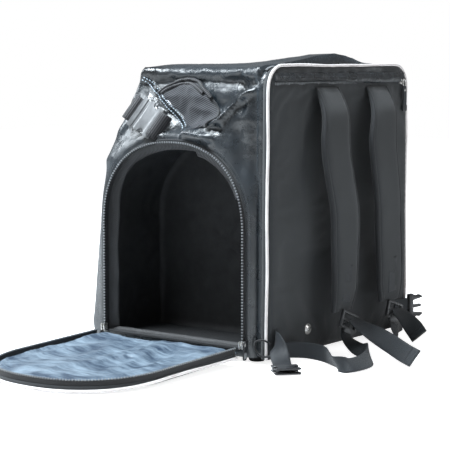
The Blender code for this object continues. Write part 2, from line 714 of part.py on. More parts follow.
def buckle_socket(name, size, centre, turn, mouth, origin=None):
    """The socket half of a side-release buckle: a block with a hollow open towards mouth (+1 or -1)."""
    thick, along, across = size
    deep = along - 0.006
    block = box(name, size, centre, PLASTIC, turn, origin)
    middle = Vector(centre) + turn @ Vector((0, mouth * (along / 2 - deep / 2 + 0.001), 0))
    cutter = box(name + "_hollow", (thick - 0.0036, deep + 0.002, across - 0.010), middle, PLASTIC, turn)
    cutter.hide_render = True
    cutter.display_type = "WIRE"
    cut = block.modifiers.new("hollow", "BOOLEAN")
    cut.object = cutter
    cut.operation = "DIFFERENCE"
    cut.solver = "EXACT"


def buckle_plug(name, size, centre, turn, point, origin=None):
    """The plug half: a bar with two prongs that point towards point (+1 or -1) along the strap."""
    thick, along, across = size
    prong = 0.024
    near = along / 2
    edge = across / 2 - 0.0056
    root = edge - 0.007
    outline = [(-across / 2, -near), (across / 2, -near), (across / 2, near), (edge, near),
               (edge, near + prong), (root, near + prong), (root, near), (-root, near),
               (-root, near + prong), (-edge, near + prong), (-edge, near), (-across / 2, near)]
    middle = Vector(centre)
    verts, faces = prism(outline, -thick / 2, thick / 2,
                         lambda a, b, c: middle + turn @ Vector((c, point * b, a)))
    make(name, verts, faces, PLASTIC, origin or centre)


def build_left_waist():
    """The waist webbing sewn low at the -X edge, with the buckle's socket flat on the floor."""
    anchor = LEFT_WAIST_ANCHOR
    turn = (Matrix.Rotation(math.radians(WAIST_SOCKET_DEG), 3, "Z")
            @ Matrix.Rotation(math.radians(-90), 3, "Y"))
    flat = turn @ Vector((0, 0, -1))
    mouth = Vector(WAIST_SOCKET) + turn @ Vector((0, 0.0185, 0.0006))
    webbing("left_waist_webbing",
            [anchor, (-0.1900, -0.1820, 0.0396), (-0.1975, -0.1905, 0.034), (-0.2060, -0.2010, 0.020),
             (-0.2125, -0.2090, 0.011), tuple(mouth)],
            WAIST_WEBBING_WIDTH, WEBBING,
            [(0, 0, 1), (0, -0.1, 1), (0.3, -0.28, 0.9), (0.62, -0.58, 0.4), tuple(flat), tuple(flat)],
            origin=anchor)
    buckle_socket("left_waist_buckle", (0.0095, 0.034, 0.040), WAIST_SOCKET, turn, -1, anchor)


def build_right_waist():
    """The waist webbing sewn low at the +X edge, with the buckle's plug past the edge."""
    anchor = RIGHT_WAIST_ANCHOR
    x, y, z = anchor
    turn = Matrix.Rotation(math.radians(WAIST_PLUG_DEG), 3, "Z")
    webbing("right_waist_webbing", [anchor, (x + 0.016, y - 0.0050, z), (x + 0.028, y - 0.0085, z)],
            WAIST_WEBBING_WIDTH, WEBBING, origin=anchor)
    buckle_plug("right_waist_buckle", (0.0048, 0.012, 0.044), WAIST_PLUG, turn, -1, anchor)


def shoulder_patch(y, z, lift):
    """A point on the -X shoulder, lifted off the fabric."""
    return Vector((-(side_x(y, z) + lift), y, z))


def build_shoulder():
    """The ribbed panel on the -X shoulder."""
    outer = []
    inner = []
    for n in range(6):
        up = n / 5
        row = []
        under = []
        for m in range(6):
            along = m / 5
            y = 0.012 - 0.084 * along + 0.026 * up
            z = 0.362 + 0.010 * along + (0.050 + 0.010 * math.sin(math.pi * along)) * up
            row.append(shoulder_patch(y, z, 0.0022))
            under.append(shoulder_patch(y, z, 0.0008))
        outer.append(row)
        inner.append(under)
    make("ribbed_shoulder_panel", *slab(outer, inner, False), RIBBED, smooth=True)


def build_top_buckle():
    """The compression strap over the -X shoulder, joined by a side-release buckle."""
    lean = Matrix.Rotation(math.radians(TOP_BUCKLE_LEAN_DEG), 3, "Y")
    roll = Matrix.Rotation(math.radians(TOP_BUCKLE_ROLL_DEG), 3, "X")
    turn = lean @ roll
    centre = Vector(TOP_BUCKLE)
    along = turn @ Vector((0, 1, 0))

    def at(distance):
        return centre + along * distance

    buckle_socket("top_buckle_socket", (0.0088, 0.036, TOP_BUCKLE_WIDTH), at(-0.0095), turn, 1)
    buckle_plug("top_buckle_plug", (0.0044, 0.020, TOP_BUCKLE_WIDTH), at(0.0190), turn, -1)
    for name, length, distance in (("rear", 0.014, -0.0362), ("front", 0.016, 0.0380)):
        box("top_strap_" + name, (TOP_STRAP_THICK, length, TOP_STRAP_WIDTH), at(distance), WEBBING, turn)


def build_snap():
    """The silver snap low on the back panel."""
    verts, faces = prism(circle(0.008, 16), BACK_Y - 0.0033, BACK_Y - 0.0003,
                         lambda a, b, c: Vector((SNAP_X + a, c, SNAP_Z + b)))
    make("back_snap", verts, faces, SILVER, (SNAP_X, BACK_Y, SNAP_Z), smooth=True)


build_back()
build_front()
build_top()
build_base()
for prefix, sign in (("left", -1), ("right", 1)):
    build_side(prefix, sign)
    build_divider(prefix, sign)
    build_door(prefix, sign)
    build_door_slider(prefix, sign, "near", -1)
    build_door_slider(prefix, sign, "far", 1)
build_main_zip()
build_strap_pocket()
build_shoulder_strap("left", LEFT_PAD, 0.012, math.radians(22))
build_shoulder_strap("right", RIGHT_PAD, 0.006, math.radians(18))
build_webbing()
build_left_waist()
build_right_waist()
build_shoulder()
build_top_buckle()
build_snap()
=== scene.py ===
"""The looks of the skate bag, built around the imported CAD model."""
import math
import json

import bmesh
import bpy
import numpy as np
from mathutils import Matrix, Vector, noise
from mathutils.geometry import delaunay_2d_cdt


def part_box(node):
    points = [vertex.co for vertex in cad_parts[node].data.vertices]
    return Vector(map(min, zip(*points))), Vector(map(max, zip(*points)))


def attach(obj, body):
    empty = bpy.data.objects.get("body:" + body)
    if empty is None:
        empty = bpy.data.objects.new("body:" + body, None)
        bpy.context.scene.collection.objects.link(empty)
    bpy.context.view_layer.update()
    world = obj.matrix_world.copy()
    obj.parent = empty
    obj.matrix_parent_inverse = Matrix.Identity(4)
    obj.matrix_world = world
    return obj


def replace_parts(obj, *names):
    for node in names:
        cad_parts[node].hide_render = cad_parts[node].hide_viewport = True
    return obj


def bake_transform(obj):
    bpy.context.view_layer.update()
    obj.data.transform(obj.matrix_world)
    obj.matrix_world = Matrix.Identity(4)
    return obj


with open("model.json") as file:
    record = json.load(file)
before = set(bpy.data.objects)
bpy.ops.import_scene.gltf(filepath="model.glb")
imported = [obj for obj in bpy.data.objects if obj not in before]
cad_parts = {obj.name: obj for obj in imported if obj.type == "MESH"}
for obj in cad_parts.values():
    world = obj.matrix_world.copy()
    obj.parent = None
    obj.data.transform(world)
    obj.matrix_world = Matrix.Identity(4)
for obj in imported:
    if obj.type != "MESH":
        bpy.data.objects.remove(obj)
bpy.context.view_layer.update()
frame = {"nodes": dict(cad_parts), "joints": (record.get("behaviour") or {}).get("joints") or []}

# ---------------------------------------------------------------- dimensions, from the frame

def centre_of(node):
    """Middle of a CAD node's box."""
    low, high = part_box(node)
    return (low + high) / 2


BACK_LOW, BACK_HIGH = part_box("back_panel")
RIGHT_DOOR_LOW, RIGHT_DOOR_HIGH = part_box("right_door_panel")
JOINTS = {j["name"]: j for j in frame["joints"]}

BACK_Y = BACK_LOW.y
BACK_BOTTOM_Z = BACK_LOW.z
BACK_TOP_Z = BACK_HIGH.z
BACK_THICK = BACK_HIGH.y - BACK_LOW.y
EDGE_LEAN = 0.008
BACK_HALF_W = 0.201
TOP_CORNER_R = 0.033
SHELL_BACK_Y = -0.1504
SEAM_Y = -0.1540
FRONT_Y = 0.172
FRONT_LEAN = 0.47
KNEE_Z = 0.300
ROOF_Z = 0.455
SIDE_X = 0.210
ROOF_HALF_W = 0.140
FRONT_HALF_W = 0.204
FRONT_NARROWING = 0.100
ARCH_HALF_W = 0.140
ARCH_SILL_Z = 0.024
ARCH_SPRING_Z = 0.200
ARCH_RISE = 0.135
ARCH_POWER = 2.3
DOOR_OUTER_X = RIGHT_DOOR_HIGH.x
DOOR_START_Z = RIGHT_DOOR_LOW.z
RIM_START_Z = 0.040
BODY_TAPE_X = 0.2108
BODY_TEETH_X = 0.2166
DOOR_TEETH_X = 0.2189
DOOR_TAPE_X = 0.2235
DOOR_WALL_X = 0.2314
HINGE_X = JOINTS["right_door_hinge"]["pos_m"][0]
HINGE_Z = JOINTS["right_door_hinge"]["pos_m"][2]
DOOR_OPEN_DEG = JOINTS["left_door_hinge"]["range_deg"][1]


# ---------------------------------------------------------------- material helpers

class Nodes:
    """A small wrapper that makes a node material one line per node."""

    def __init__(self, name, **settings):
        self.mat = bpy.data.materials.new(name)
        self.mat.use_nodes = True
        self.tree = self.mat.node_tree
        self.shader = self.tree.nodes["Principled BSDF"]
        for key, value in settings.items():
            self.shader.inputs[key.replace("_", " ")].default_value = value

    def add(self, kind, links=(), **values):
        """Add a node; links are (input, socket) pairs, values are properties or inputs."""
        node = self.tree.nodes.new(kind)
        for key, value in values.items():
            if hasattr(node, key):
                setattr(node, key, value)
            else:
                node.inputs[key.replace("_", " ")].default_value = value
        for target, socket in links:
            self.tree.links.new(socket, node.inputs[target])
        return node

    def link(self, socket, target):
        self.tree.links.new(socket, self.shader.inputs[target])

    def metres(self):
        """UV in metres, laid along each piece's own cloth."""
        return self.add("ShaderNodeUVMap", uv_map="cloth").outputs["UV"]

    def place(self):
        """Position in the piece's own space, in metres."""
        return self.add("ShaderNodeTexCoord").outputs["Object"]

    def noise(self, vector, scale, detail=3.0, rough=0.55, stretch=None):
        if stretch:
            vector = self.add("ShaderNodeMapping", [("Vector", vector)], Scale=stretch).outputs[0]
        return self.add("ShaderNodeTexNoise", [("Vector", vector)], Scale=scale, Detail=detail,
                        Roughness=rough).outputs["Fac"]

    def wave(self, vector, pitch, direction):
        """Bands pitch metres apart along X or Y of vector."""
        return self.add("ShaderNodeTexWave", [("Vector", vector)], bands_direction=direction,
                        Scale=math.pi / (10 * pitch)).outputs["Fac"]

    def math(self, operation, a, b):
        node = self.add("ShaderNodeMath", operation=operation)
        for n, value in enumerate((a, b)):
            if isinstance(value, (int, float)):
                node.inputs[n].default_value = value
            else:
                self.tree.links.new(value, node.inputs[n])
        return node.outputs[0]

    def mix(self, a, b, share):
        """share of a with the rest of b."""
        return self.math("ADD", self.math("MULTIPLY", a, share), self.math("MULTIPLY", b, 1 - share))

    def ramp(self, fac, low, high, colour_low, colour_high):
        node = self.add("ShaderNodeValToRGB", [("Fac", fac)])
        node.color_ramp.elements[0].position = low
        node.color_ramp.elements[1].position = high
        node.color_ramp.elements[0].color = (*colour_low, 1.0)
        node.color_ramp.elements[1].color = (*colour_high, 1.0)
        return node.outputs["Color"]

    def range(self, fac, low, high, to_low, to_high):
        node = self.add("ShaderNodeMapRange", [("Value", fac)])
        node.inputs[1].default_value = low
        node.inputs[2].default_value = high
        node.inputs[3].default_value = to_low
        node.inputs[4].default_value = to_high
        return node.outputs[0]

    def bumps(self, *layers):
        """Stack (height, distance in metres, strength) bumps on the shader's normal."""
        last = None
        for height, distance, strength in layers:
            links = [("Height", height)]
            if last:
                links.append(("Normal", last))
            last = self.add("ShaderNodeBump", links, Distance=distance, Strength=strength).outputs[0]
        self.link(last, "Normal")


def woven(nodes, pitch):
    """Height of a plain weave with threads pitch metres apart."""
    uv = nodes.metres()
    warp = nodes.wave(uv, pitch, "X")
    weft = nodes.wave(uv, pitch, "Y")
    return nodes.math("MAXIMUM", warp, weft)


def coated_fabric(name, dark, light, roughness, crumple, gloss=0.62):
    """Coated polyester: fine weave, soft crumple and a bluish sheen."""
    n = Nodes(name, Roughness=roughness, Sheen_Weight=0.06, Sheen_Roughness=0.35,
              Sheen_Tint=(0.70, 0.86, 1.0, 1.0), Specular_IOR_Level=gloss)
    place = n.place()
    tone = n.noise(place, 9.0, 5.0, 0.6)
    n.link(n.ramp(tone, 0.32, 0.72, dark, light), "Base Color")
    fine = n.noise(place, 42.0, 4.0, 0.6)
    n.link(n.range(fine, 0.3, 0.7, roughness - 0.07, roughness + 0.08), "Roughness")
    height = n.add("ShaderNodeSeparateXYZ", [("Vector", place)]).outputs["Z"]
    slack = n.range(height, 0.26, 0.37, 0.30, 1.0)
    broad = n.math("MULTIPLY", n.noise(place, 14.0, 3.0, 0.5), slack)
    small = n.math("MULTIPLY", fine, slack)
    n.bumps((broad, 0.010, crumple), (small, 0.0025, crumple), (woven(n, 0.0009), 0.00012, 0.5))
    return n.mat


def matt_weave(name, dark, light, roughness, pitch):
    """Matt woven cloth with a visible grid of threads."""
    n = Nodes(name, Roughness=roughness, Sheen_Weight=0.15, Sheen_Roughness=0.5,
              Specular_IOR_Level=0.3)
    place = n.place()
    tone = n.noise(place, 7.0, 5.0, 0.6)
    weave = woven(n, pitch)
    n.link(n.ramp(n.mix(tone, weave, 0.75), 0.25, 0.80, dark, light), "Base Color")
    n.bumps((n.noise(place, 18.0, 3.0, 0.5), 0.004, 0.25), (weave, 0.00025, 0.6))
    return n.mat


def ribbed_weave(name, dark, light, roughness, pitch, direction="Y", gloss=0.4):
    """Webbing or ribbed cloth: ribs pitch metres apart across one direction."""
    n = Nodes(name, Roughness=roughness, Specular_IOR_Level=gloss, Sheen_Weight=0.1)
    uv = n.metres()
    ribs = n.wave(uv, pitch, direction)
    thread = n.wave(uv, pitch * 0.55, "X" if direction == "Y" else "Y")
    both = n.mix(ribs, thread, 0.85)
    tone = n.noise(n.place(), 25.0, 4.0, 0.6)
    # Rib height also sets the colour: grooves painted darker and rib tops lighter, painted shade and
    # highlight of the ribs.
    n.link(n.ramp(n.mix(both, tone, 0.70), 0.25, 0.80, dark, light), "Base Color")
    n.bumps((both, pitch * 0.25, 0.8))
    return n.mat


def satin(name):
    """Pale lining satin with streaks of gathered folds, the folds' shade painted into its colour as dark
    streaks.
    """
    n = Nodes(name, Roughness=0.40, Specular_IOR_Level=0.5, Sheen_Weight=0.25,
              Sheen_Roughness=0.3, Sheen_Tint=(0.8, 0.9, 1.0, 1.0))
    uv = n.metres()
    broad = n.noise(uv, 11.0, 4.0, 0.62, (1.0, 2.4, 1.0))
    streak = n.noise(uv, 60.0, 3.0, 0.65, (0.4, 2.2, 1.0))
    fold_shade = n.mix(broad, streak, 0.65)
    # the dark end of this ramp is painted shade in the fold streaks
    n.link(n.ramp(fold_shade, 0.40, 0.60, (0.028, 0.050, 0.085), (0.23, 0.300, 0.37)), "Base Color")
    n.bumps((broad, 0.010, 0.35), (streak, 0.003, 0.5), (woven(n, 0.0006), 0.00008, 0.4))
    return n.mat


def plastic(name, colour, roughness, coat=0.0):
    """Moulded plastic with a faint grain and rubbed edges."""
    n = Nodes(name, Roughness=roughness, Coat_Weight=coat, Coat_Roughness=0.12)
    place = n.place()
    grain = n.noise(place, 900.0, 2.0, 0.5)
    wear = n.noise(place, 60.0, 5.0, 0.65)
    lighter = tuple(min(1.0, c * 1.7 + 0.01) for c in colour)
    n.link(n.ramp(wear, 0.35, 0.8, colour, lighter), "Base Color")
    n.link(n.range(wear, 0.3, 0.7, roughness - 0.05, roughness + 0.10), "Roughness")
    n.bumps((grain, 0.0002, 0.25))
    return n.mat


def silver(name):
    """Plated die-cast metal with fine scratches."""
    n = Nodes(name, Metallic=1.0, Roughness=0.28)
    place = n.place()
    scratch = n.noise(place, 500.0, 4.0, 0.7, (1.0, 0.12, 1.0))
    n.link(n.ramp(scratch, 0.3, 0.75, (0.55, 0.54, 0.52), (0.86, 0.85, 0.83)), "Base Color")
    n.link(n.range(scratch, 0.3, 0.7, 0.20, 0.38), "Roughness")
    n.bumps((scratch, 0.0001, 0.3))
    return n.mat


def corded(name):
    """White piping: cloth wrapped on a cord, slightly soiled along its length."""
    n = Nodes(name, Roughness=0.5, Sheen_Weight=0.2, Specular_IOR_Level=0.4)
    place = n.place()
    soil = n.noise(place, 30.0, 5.0, 0.65)
    n.link(n.ramp(soil, 0.25, 0.6, (0.62, 0.57, 0.56), (0.86, 0.82, 0.81)), "Base Color")
    n.bumps((n.noise(place, 160.0, 3.0, 0.6), 0.0008, 0.4), (woven(n, 0.0007), 0.0001, 0.5))
    return n.mat


def rubber(name):
    """Matt rubber or board with a fine grain."""
    n = Nodes(name, Roughness=0.8, Specular_IOR_Level=0.3)
    place = n.place()
    tone = n.noise(place, 80.0, 4.0, 0.6)
    n.link(n.ramp(tone, 0.3, 0.7, (0.012, 0.012, 0.012), (0.035, 0.035, 0.036)), "Base Color")
    n.bumps((n.noise(place, 600.0, 2.0, 0.5), 0.0003, 0.5))
    return n.mat


SHELL = coated_fabric("coated_shell", (0.006, 0.008, 0.010), (0.018, 0.025, 0.032), 0.28, 0.9, 0.85)
LINING = coated_fabric("dark_lining", (0.006, 0.006, 0.007), (0.012, 0.012, 0.013), 0.75, 0.25)
PANEL = matt_weave("panel_weave", (0.022, 0.024, 0.026), (0.042, 0.045, 0.048), 0.85, 0.0011)
BINDING = matt_weave("binding_tape", (0.012, 0.013, 0.015), (0.028, 0.030, 0.033), 0.65, 0.0008)
SATIN = satin("lining_satin_cloth")
RIB = ribbed_weave("ribbed_cloth", (0.003, 0.003, 0.004), (0.060, 0.064, 0.074), 0.55, 0.0032, "X", 0.25)
RIBWEB = ribbed_weave("ribbed_webbing", (0.006, 0.006, 0.007), (0.045, 0.045, 0.050), 0.50, 0.0032, "Y", 0.35)
MESH = ribbed_weave("mesh_facing", (0.006, 0.006, 0.006), (0.085, 0.086, 0.090), 0.5, 0.0028, "X")
WEB = ribbed_weave("webbing_cloth", (0.008, 0.010, 0.012), (0.027, 0.032, 0.039), 0.50, 0.0016, "Y")
TAPE = ribbed_weave("zip_tape_cloth", (0.007, 0.007, 0.008), (0.022, 0.022, 0.024), 0.7, 0.0008, "X")
# The zip teeth are black plastic; their pale grey is a painted highlight standing in for the glints.
TEETH = plastic("zip_teeth_plastic", (0.20, 0.21, 0.22), 0.30)
BUCKLE = plastic("buckle_black", (0.022, 0.023, 0.025), 0.30, 0.2)
# The top buckle is black plastic lightened to grey: a painted highlight standing in for its reflections.
BUCKLE_PAINTED_HIGHLIGHT = plastic("buckle_black_painted_highlight", (0.105, 0.108, 0.112), 0.32, 0.3)
SILVER = silver("plated_metal")
CORD = corded("piping_cloth")
RUBBER = rubber("foot_rubber_grain")
THREAD = coated_fabric("pale_thread", (0.45, 0.55, 0.64), (0.68, 0.76, 0.83), 0.5, 0.1)
DARK_THREAD = coated_fabric("dark_thread", (0.05, 0.055, 0.06), (0.09, 0.095, 0.10), 0.6, 0.1)


# ---------------------------------------------------------------- mesh helpers

def piece(name, verts, faces, mat, body, uv=None, slot=None, smooth=True):
    """A named mesh that rides on a body; uv holds one cloth coordinate a vertex."""
    mesh = bpy.data.meshes.new(name)
    mesh.from_pydata([tuple(v) for v in verts], [], faces)
    if uv is not None:
        layer = mesh.uv_layers.new(name="cloth")
        flat = np.array(uv, float)
        index = np.zeros(len(mesh.loops), int)
        mesh.loops.foreach_get("vertex_index", index)
        layer.data.foreach_set("uv", flat[index].ravel())
    shape = bmesh.new()
    shape.from_mesh(mesh)
    bmesh.ops.recalc_face_normals(shape, faces=shape.faces)
    shape.to_mesh(mesh)
    shape.free()
    mesh.materials.append(mat)
    if smooth:
        mesh.shade_smooth()
    obj = bpy.data.objects.new(name, mesh)
    bpy.context.scene.collection.objects.link(obj)
    if body:
        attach(obj, body)
    return obj


def apply_all(obj):
    """Turn a piece's modifiers into mesh."""
    deps = bpy.context.evaluated_depsgraph_get()
    deps.update()
    mesh = bpy.data.meshes.new_from_object(obj.evaluated_get(deps), depsgraph=deps)
    old = obj.data
    obj.modifiers.clear()
    obj.data = mesh
    bpy.data.meshes.remove(old)


def thicken(obj, thickness):
    """Give a sheet its thickness, half to each side."""
    solid = obj.modifiers.new("thickness", "SOLIDIFY")
    solid.thickness = thickness
    solid.offset = 0.0
    solid.use_even_offset = False
    apply_all(obj)


def grid_faces(rows, cols, closed=False):
    """Quads of a rows by cols grid of points."""
    spans = cols if closed else cols - 1
    return [(i * cols + j, i * cols + (j + 1) % cols, (i + 1) * cols + (j + 1) % cols, (i + 1) * cols + j)
            for i in range(rows - 1) for j in range(spans)]


def grid_uv(points):
    """Cloth coordinates of a grid, from the lengths along its rows and columns."""
    pts = np.array(points, float)
    across = np.zeros(pts.shape[:2])
    along = np.zeros(pts.shape[:2])
    across[:, 1:] = np.cumsum(np.linalg.norm(np.diff(pts, axis=1), axis=2), axis=1)
    along[1:, :] = np.cumsum(np.linalg.norm(np.diff(pts, axis=0), axis=2), axis=0)
    return np.stack([across, along], axis=2).reshape(-1, 2)


def grid_piece(name, points, mat, body, slot=None, closed=False):
    """A sheet from a grid of points."""
    rows = len(points)
    cols = len(points[0])
    verts = [p for row in points for p in row]
    return piece(name, verts, grid_faces(rows, cols, closed), mat, body, grid_uv(points), slot)


def curve(points, steps):
    """A smooth curve through points, steps to each span."""
    pts = [Vector(p) for p in points]
    line = []
    for n in range(len(pts) - 1):
        p0 = pts[max(n - 1, 0)]
        p1 = pts[n]
        p2 = pts[n + 1]
        p3 = pts[min(n + 2, len(pts) - 1)]
        for i in range(steps):
            t = i / steps
            line.append(0.5 * (2 * p1 + (p2 - p0) * t + (2 * p0 - 5 * p1 + 4 * p2 - p3) * t * t
                               + (3 * p1 - p0 - 3 * p2 + p3) * t ** 3))
    line.append(pts[-1])
    return line


def even(points, step):
    """The same line with points step apart."""
    pts = np.array([tuple(p) for p in points], float)
    run = np.concatenate([[0.0], np.cumsum(np.linalg.norm(np.diff(pts, axis=0), axis=1))])
    count = max(2, int(round(run[-1] / step)) + 1)
    places = np.linspace(0.0, run[-1], count)
    return [Vector([float(np.interp(s, run, pts[:, k])) for k in range(3)]) for s in places]


def frames_with_normal(points, normal):
    """Frames (centre, u along normal, v sideways) down a line; normal may differ by point."""
    frames = []
    for n, point in enumerate(points):
        tangent = (points[min(n + 1, len(points) - 1)] - points[max(n - 1, 0)]).normalized()
        u = Vector(normal[n] if isinstance(normal, list) else normal)
        u = (u - tangent * u.dot(tangent)).normalized()
        frames.append((point, u, tangent.cross(u), tangent))
    return frames


def sweep(name, frames, profile, mat, body, slot=None, closed=False):
    """A closed profile of (a, b) pairs carried along frames; profile may be a function of n."""
    verts = []
    uv = []
    faces = []
    run = 0.0
    count = len(profile(0)) if callable(profile) else len(profile)
    for n, (centre, u, v, _) in enumerate(frames):
        shape = profile(n) if callable(profile) else profile
        if n:
            run += (centre - frames[n - 1][0]).length
        for a, b in shape:
            verts.append(centre + u * a + v * b)
            uv.append((a + 0.5 * b, run))
        if n:
            base = (n - 1) * count
            faces += [(base + j, base + (j + 1) % count, base + count + (j + 1) % count,
                       base + count + j) for j in range(count)]
    last = (len(frames) - 1) * count
    if closed:
        faces += [(last + j, last + (j + 1) % count, (j + 1) % count, j) for j in range(count)]
    else:
        faces.append(tuple(range(count))[::-1])
        faces.append(tuple(last + j for j in range(count)))
    return piece(name, verts, faces, mat, body, uv, slot)


def ring(radius, sides, squash=1.0):
    """A round or oval profile."""
    turns = [2 * math.pi * k / sides for k in range(sides)]
    return [(radius * math.cos(a), squash * radius * math.sin(a)) for a in turns]


def strap_profile(width, thick, bulge=0.0):
    """A webbing section: flat faces, rounded selvedges, a slight crown."""
    half = width / 2
    r = thick / 2
    top = []
    for k in range(9):
        s = -1 + k / 4
        top.append((s * (half - r), r + bulge * (1 - s * s)))
    under = [(a, -b) for a, b in reversed(top)]
    return top + [(half - r * 0.3, r * 0.6), (half, 0.0), (half - r * 0.3, -r * 0.6)] + under + \
        [(-half + r * 0.3, -r * 0.6), (-half, 0.0), (-half + r * 0.3, r * 0.6)]


def wobble(point, scale, seed=0.0):
    """A smooth, repeatable noise from about -1 to 1 at a place."""
    return noise.noise(Vector((point[0] * scale + seed, point[1] * scale + 1.7 * seed, point[2] * scale)))


def bevel(obj, width):
    """Round a piece's edges."""
    mod = obj.modifiers.new("edge", "BEVEL")
    mod.width = width
    mod.segments = 2
    mod.limit_method = "ANGLE"
    mod.angle_limit = math.radians(35)
    apply_all(obj)
    obj.data.shade_smooth()
    obj.data.set_sharp_from_angle(angle=math.radians(50))
    return obj


def plate(name, outline, thick, place, mat, body, slot=None, edge=0.0006):
    """A moulded plate: an outline of (a, b) with its thickness along c; place maps (a, b, c)."""
    count = len(outline)
    verts = [place(a, b, -thick / 2) for a, b in outline] + [place(a, b, thick / 2) for a, b in outline]
    faces = [tuple(range(count))[::-1], tuple(count + k for k in range(count))]
    faces += [(j, (j + 1) % count, count + (j + 1) % count, count + j) for j in range(count)]
    uv = [(a, b) for a, b in outline] * 2
    obj = piece(name, verts, faces, mat, body, uv, slot, smooth=False)
    return bevel(obj, edge) if edge else obj


def rounded(width, height, radius, steps=5):
    """A rounded rectangle's outline."""
    points = []
    for cx, cy, start in ((1, 1, 0), (-1, 1, 90), (-1, -1, 180), (1, -1, 270)):
        for k in range(steps + 1):
            angle = math.radians(start + 90 * k / steps)
            points.append((cx * (width / 2 - radius) + radius * math.cos(angle),
                           cy * (height / 2 - radius) + radius * math.sin(angle)))
    return points


def stitches(name, line, normal, mat, body, pitch=0.0036, length=0.0024, radius=0.00035, slot=None):
    """A row of stitches: short raised threads along a line."""
    points = even(line, pitch)
    normals = normal if isinstance(normal, list) else None
    verts = []
    faces = []
    uv = []
    for n, point in enumerate(points[:-1]):
        ahead = (points[n + 1] - point).normalized()
        up = Vector(normals[min(n, len(normals) - 1)] if normals else normal)
        up = (up - ahead * up.dot(ahead)).normalized()
        side = ahead.cross(up)
        base = len(verts)
        for s, height, wide in ((-0.5, 0.1, 0.5), (-0.2, 1.0, 1.0), (0.2, 1.0, 1.0), (0.5, 0.1, 0.5)):
            spot = point + ahead * (length * s)
            reach = side * radius * wide
            verts += [spot - reach, spot + up * radius * height * 1.4, spot + reach]
            uv += [(spot.x, spot.z)] * 3
        for k in range(3):
            b = base + 3 * k
            faces += [(b, b + 1, b + 4, b + 3), (b + 1, b + 2, b + 5, b + 4), (b + 2, b, b + 3, b + 5)]
        faces += [(base + 2, base + 1, base), (base + 9, base + 10, base + 11)]
    return piece(name, verts, faces, mat, body, uv, slot)


# ---------------------------------------------------------------- body surface, as in the CAD

def front_y(z):
    """Depth of the front face, which slopes back above the knee."""
    return FRONT_Y - max(z - KNEE_Z, 0.0) * FRONT_LEAN


def back_edge_x(z):
    return BACK_HALF_W - EDGE_LEAN * z - 0.004


def front_edge_x(z):
    return FRONT_HALF_W - FRONT_NARROWING * z


def middle_x(z):
    """Half width halfway along the side: flat to the knee, then rounding in."""
    rise = max(z - KNEE_Z, 0.0) / (ROOF_Z - KNEE_Z)
    return SIDE_X - (SIDE_X - ROOF_HALF_W) * rise ** 1.6


def side_x(y, z):
    """Half width of the body at a place on its side."""
    s = min(max((y - SHELL_BACK_Y) / (front_y(z) - SHELL_BACK_Y), 0.0), 1.0)
    chord = back_edge_x(z) + (front_edge_x(z) - back_edge_x(z)) * s
    middle_chord = (back_edge_x(z) + front_edge_x(z)) / 2
    return chord + (middle_x(z) - middle_chord) * (1 - abs(2 * s - 1) ** 4)


def back_outline(inset, low_z=BACK_BOTTOM_Z):
    """The back panel's outline as (x, z), from bottom left over the top to bottom right."""
    slant = math.sqrt(1 + EDGE_LEAN ** 2)
    lean = math.atan(EDGE_LEAN)
    top = BACK_TOP_Z - inset
    radius = TOP_CORNER_R - inset
    corner = BACK_HALF_W - EDGE_LEAN * top - inset * slant
    centre_x = corner - radius * math.tan((math.pi / 2 - lean) / 2)
    centre_z = top - radius
    right = [(centre_x * n / 20, top) for n in range(1, 20)]
    for n in range(13):
        angle = math.pi / 2 - (math.pi / 2 - lean) * n / 12
        right.append((centre_x + radius * math.cos(angle), centre_z + radius * math.sin(angle)))
    last_z = right[-1][1]
    for n in range(1, 31):
        z = last_z + (low_z - last_z) * n / 30
        right.append((BACK_HALF_W - EDGE_LEAN * z - inset * slant, z))
    return [(-x, z) for x, z in reversed(right)] + [(0.0, top)] + right


def arch_outline(inset, start_z):
    """The door arch as (y, z), up the near leg, over the top and down the far leg."""
    half = ARCH_HALF_W - inset
    rise = ARCH_RISE - inset
    legs = [start_z + (ARCH_SPRING_Z - start_z) * n / 36 for n in range(36)]
    points = [(-half, z) for z in legs]
    for n in range(73):
        angle = math.pi * (1 - n / 72)
        cos = math.cos(angle)
        sin = math.sin(angle)
        reach = (abs(cos) ** ARCH_POWER + abs(sin) ** ARCH_POWER) ** (-1 / ARCH_POWER)
        points.append((half * reach * cos, ARCH_SPRING_Z + rise * reach * sin))
    return points + [(half, z) for z in reversed(legs)]


def sill_outline(inset, start_z):
    """The arch closed along its sill."""
    arch = arch_outline(inset, start_z)
    half = arch[-1][0]
    return arch + [(half * (1 - n / 25), start_z) for n in range(1, 50)]


def inside(point, loop):
    """Whether a 2-D point lies in a closed loop."""
    x, y = point
    hit = False
    for n, (x1, y1) in enumerate(loop):
        x0, y0 = loop[n - 1]
        if (y0 > y) != (y1 > y) and x < x0 + (x1 - x0) * (y - y0) / (y1 - y0):
            hit = not hit
    return hit


def nearest(point, loop):
    """The closest place on a closed 2-D loop, and how far it is."""
    best = None
    px, py = point
    for n, (x1, y1) in enumerate(loop):
        x0, y0 = loop[n - 1]
        dx = x1 - x0
        dy = y1 - y0
        size = dx * dx + dy * dy
        t = 0.0 if size < 1e-14 else min(max(((px - x0) * dx + (py - y0) * dy) / size, 0.0), 1.0)
        spot = (x0 + dx * t, y0 + dy * t)
        gap = math.hypot(px - spot[0], py - spot[1])
        if best is None or gap < best[1]:
            best = (spot, gap)
    return best


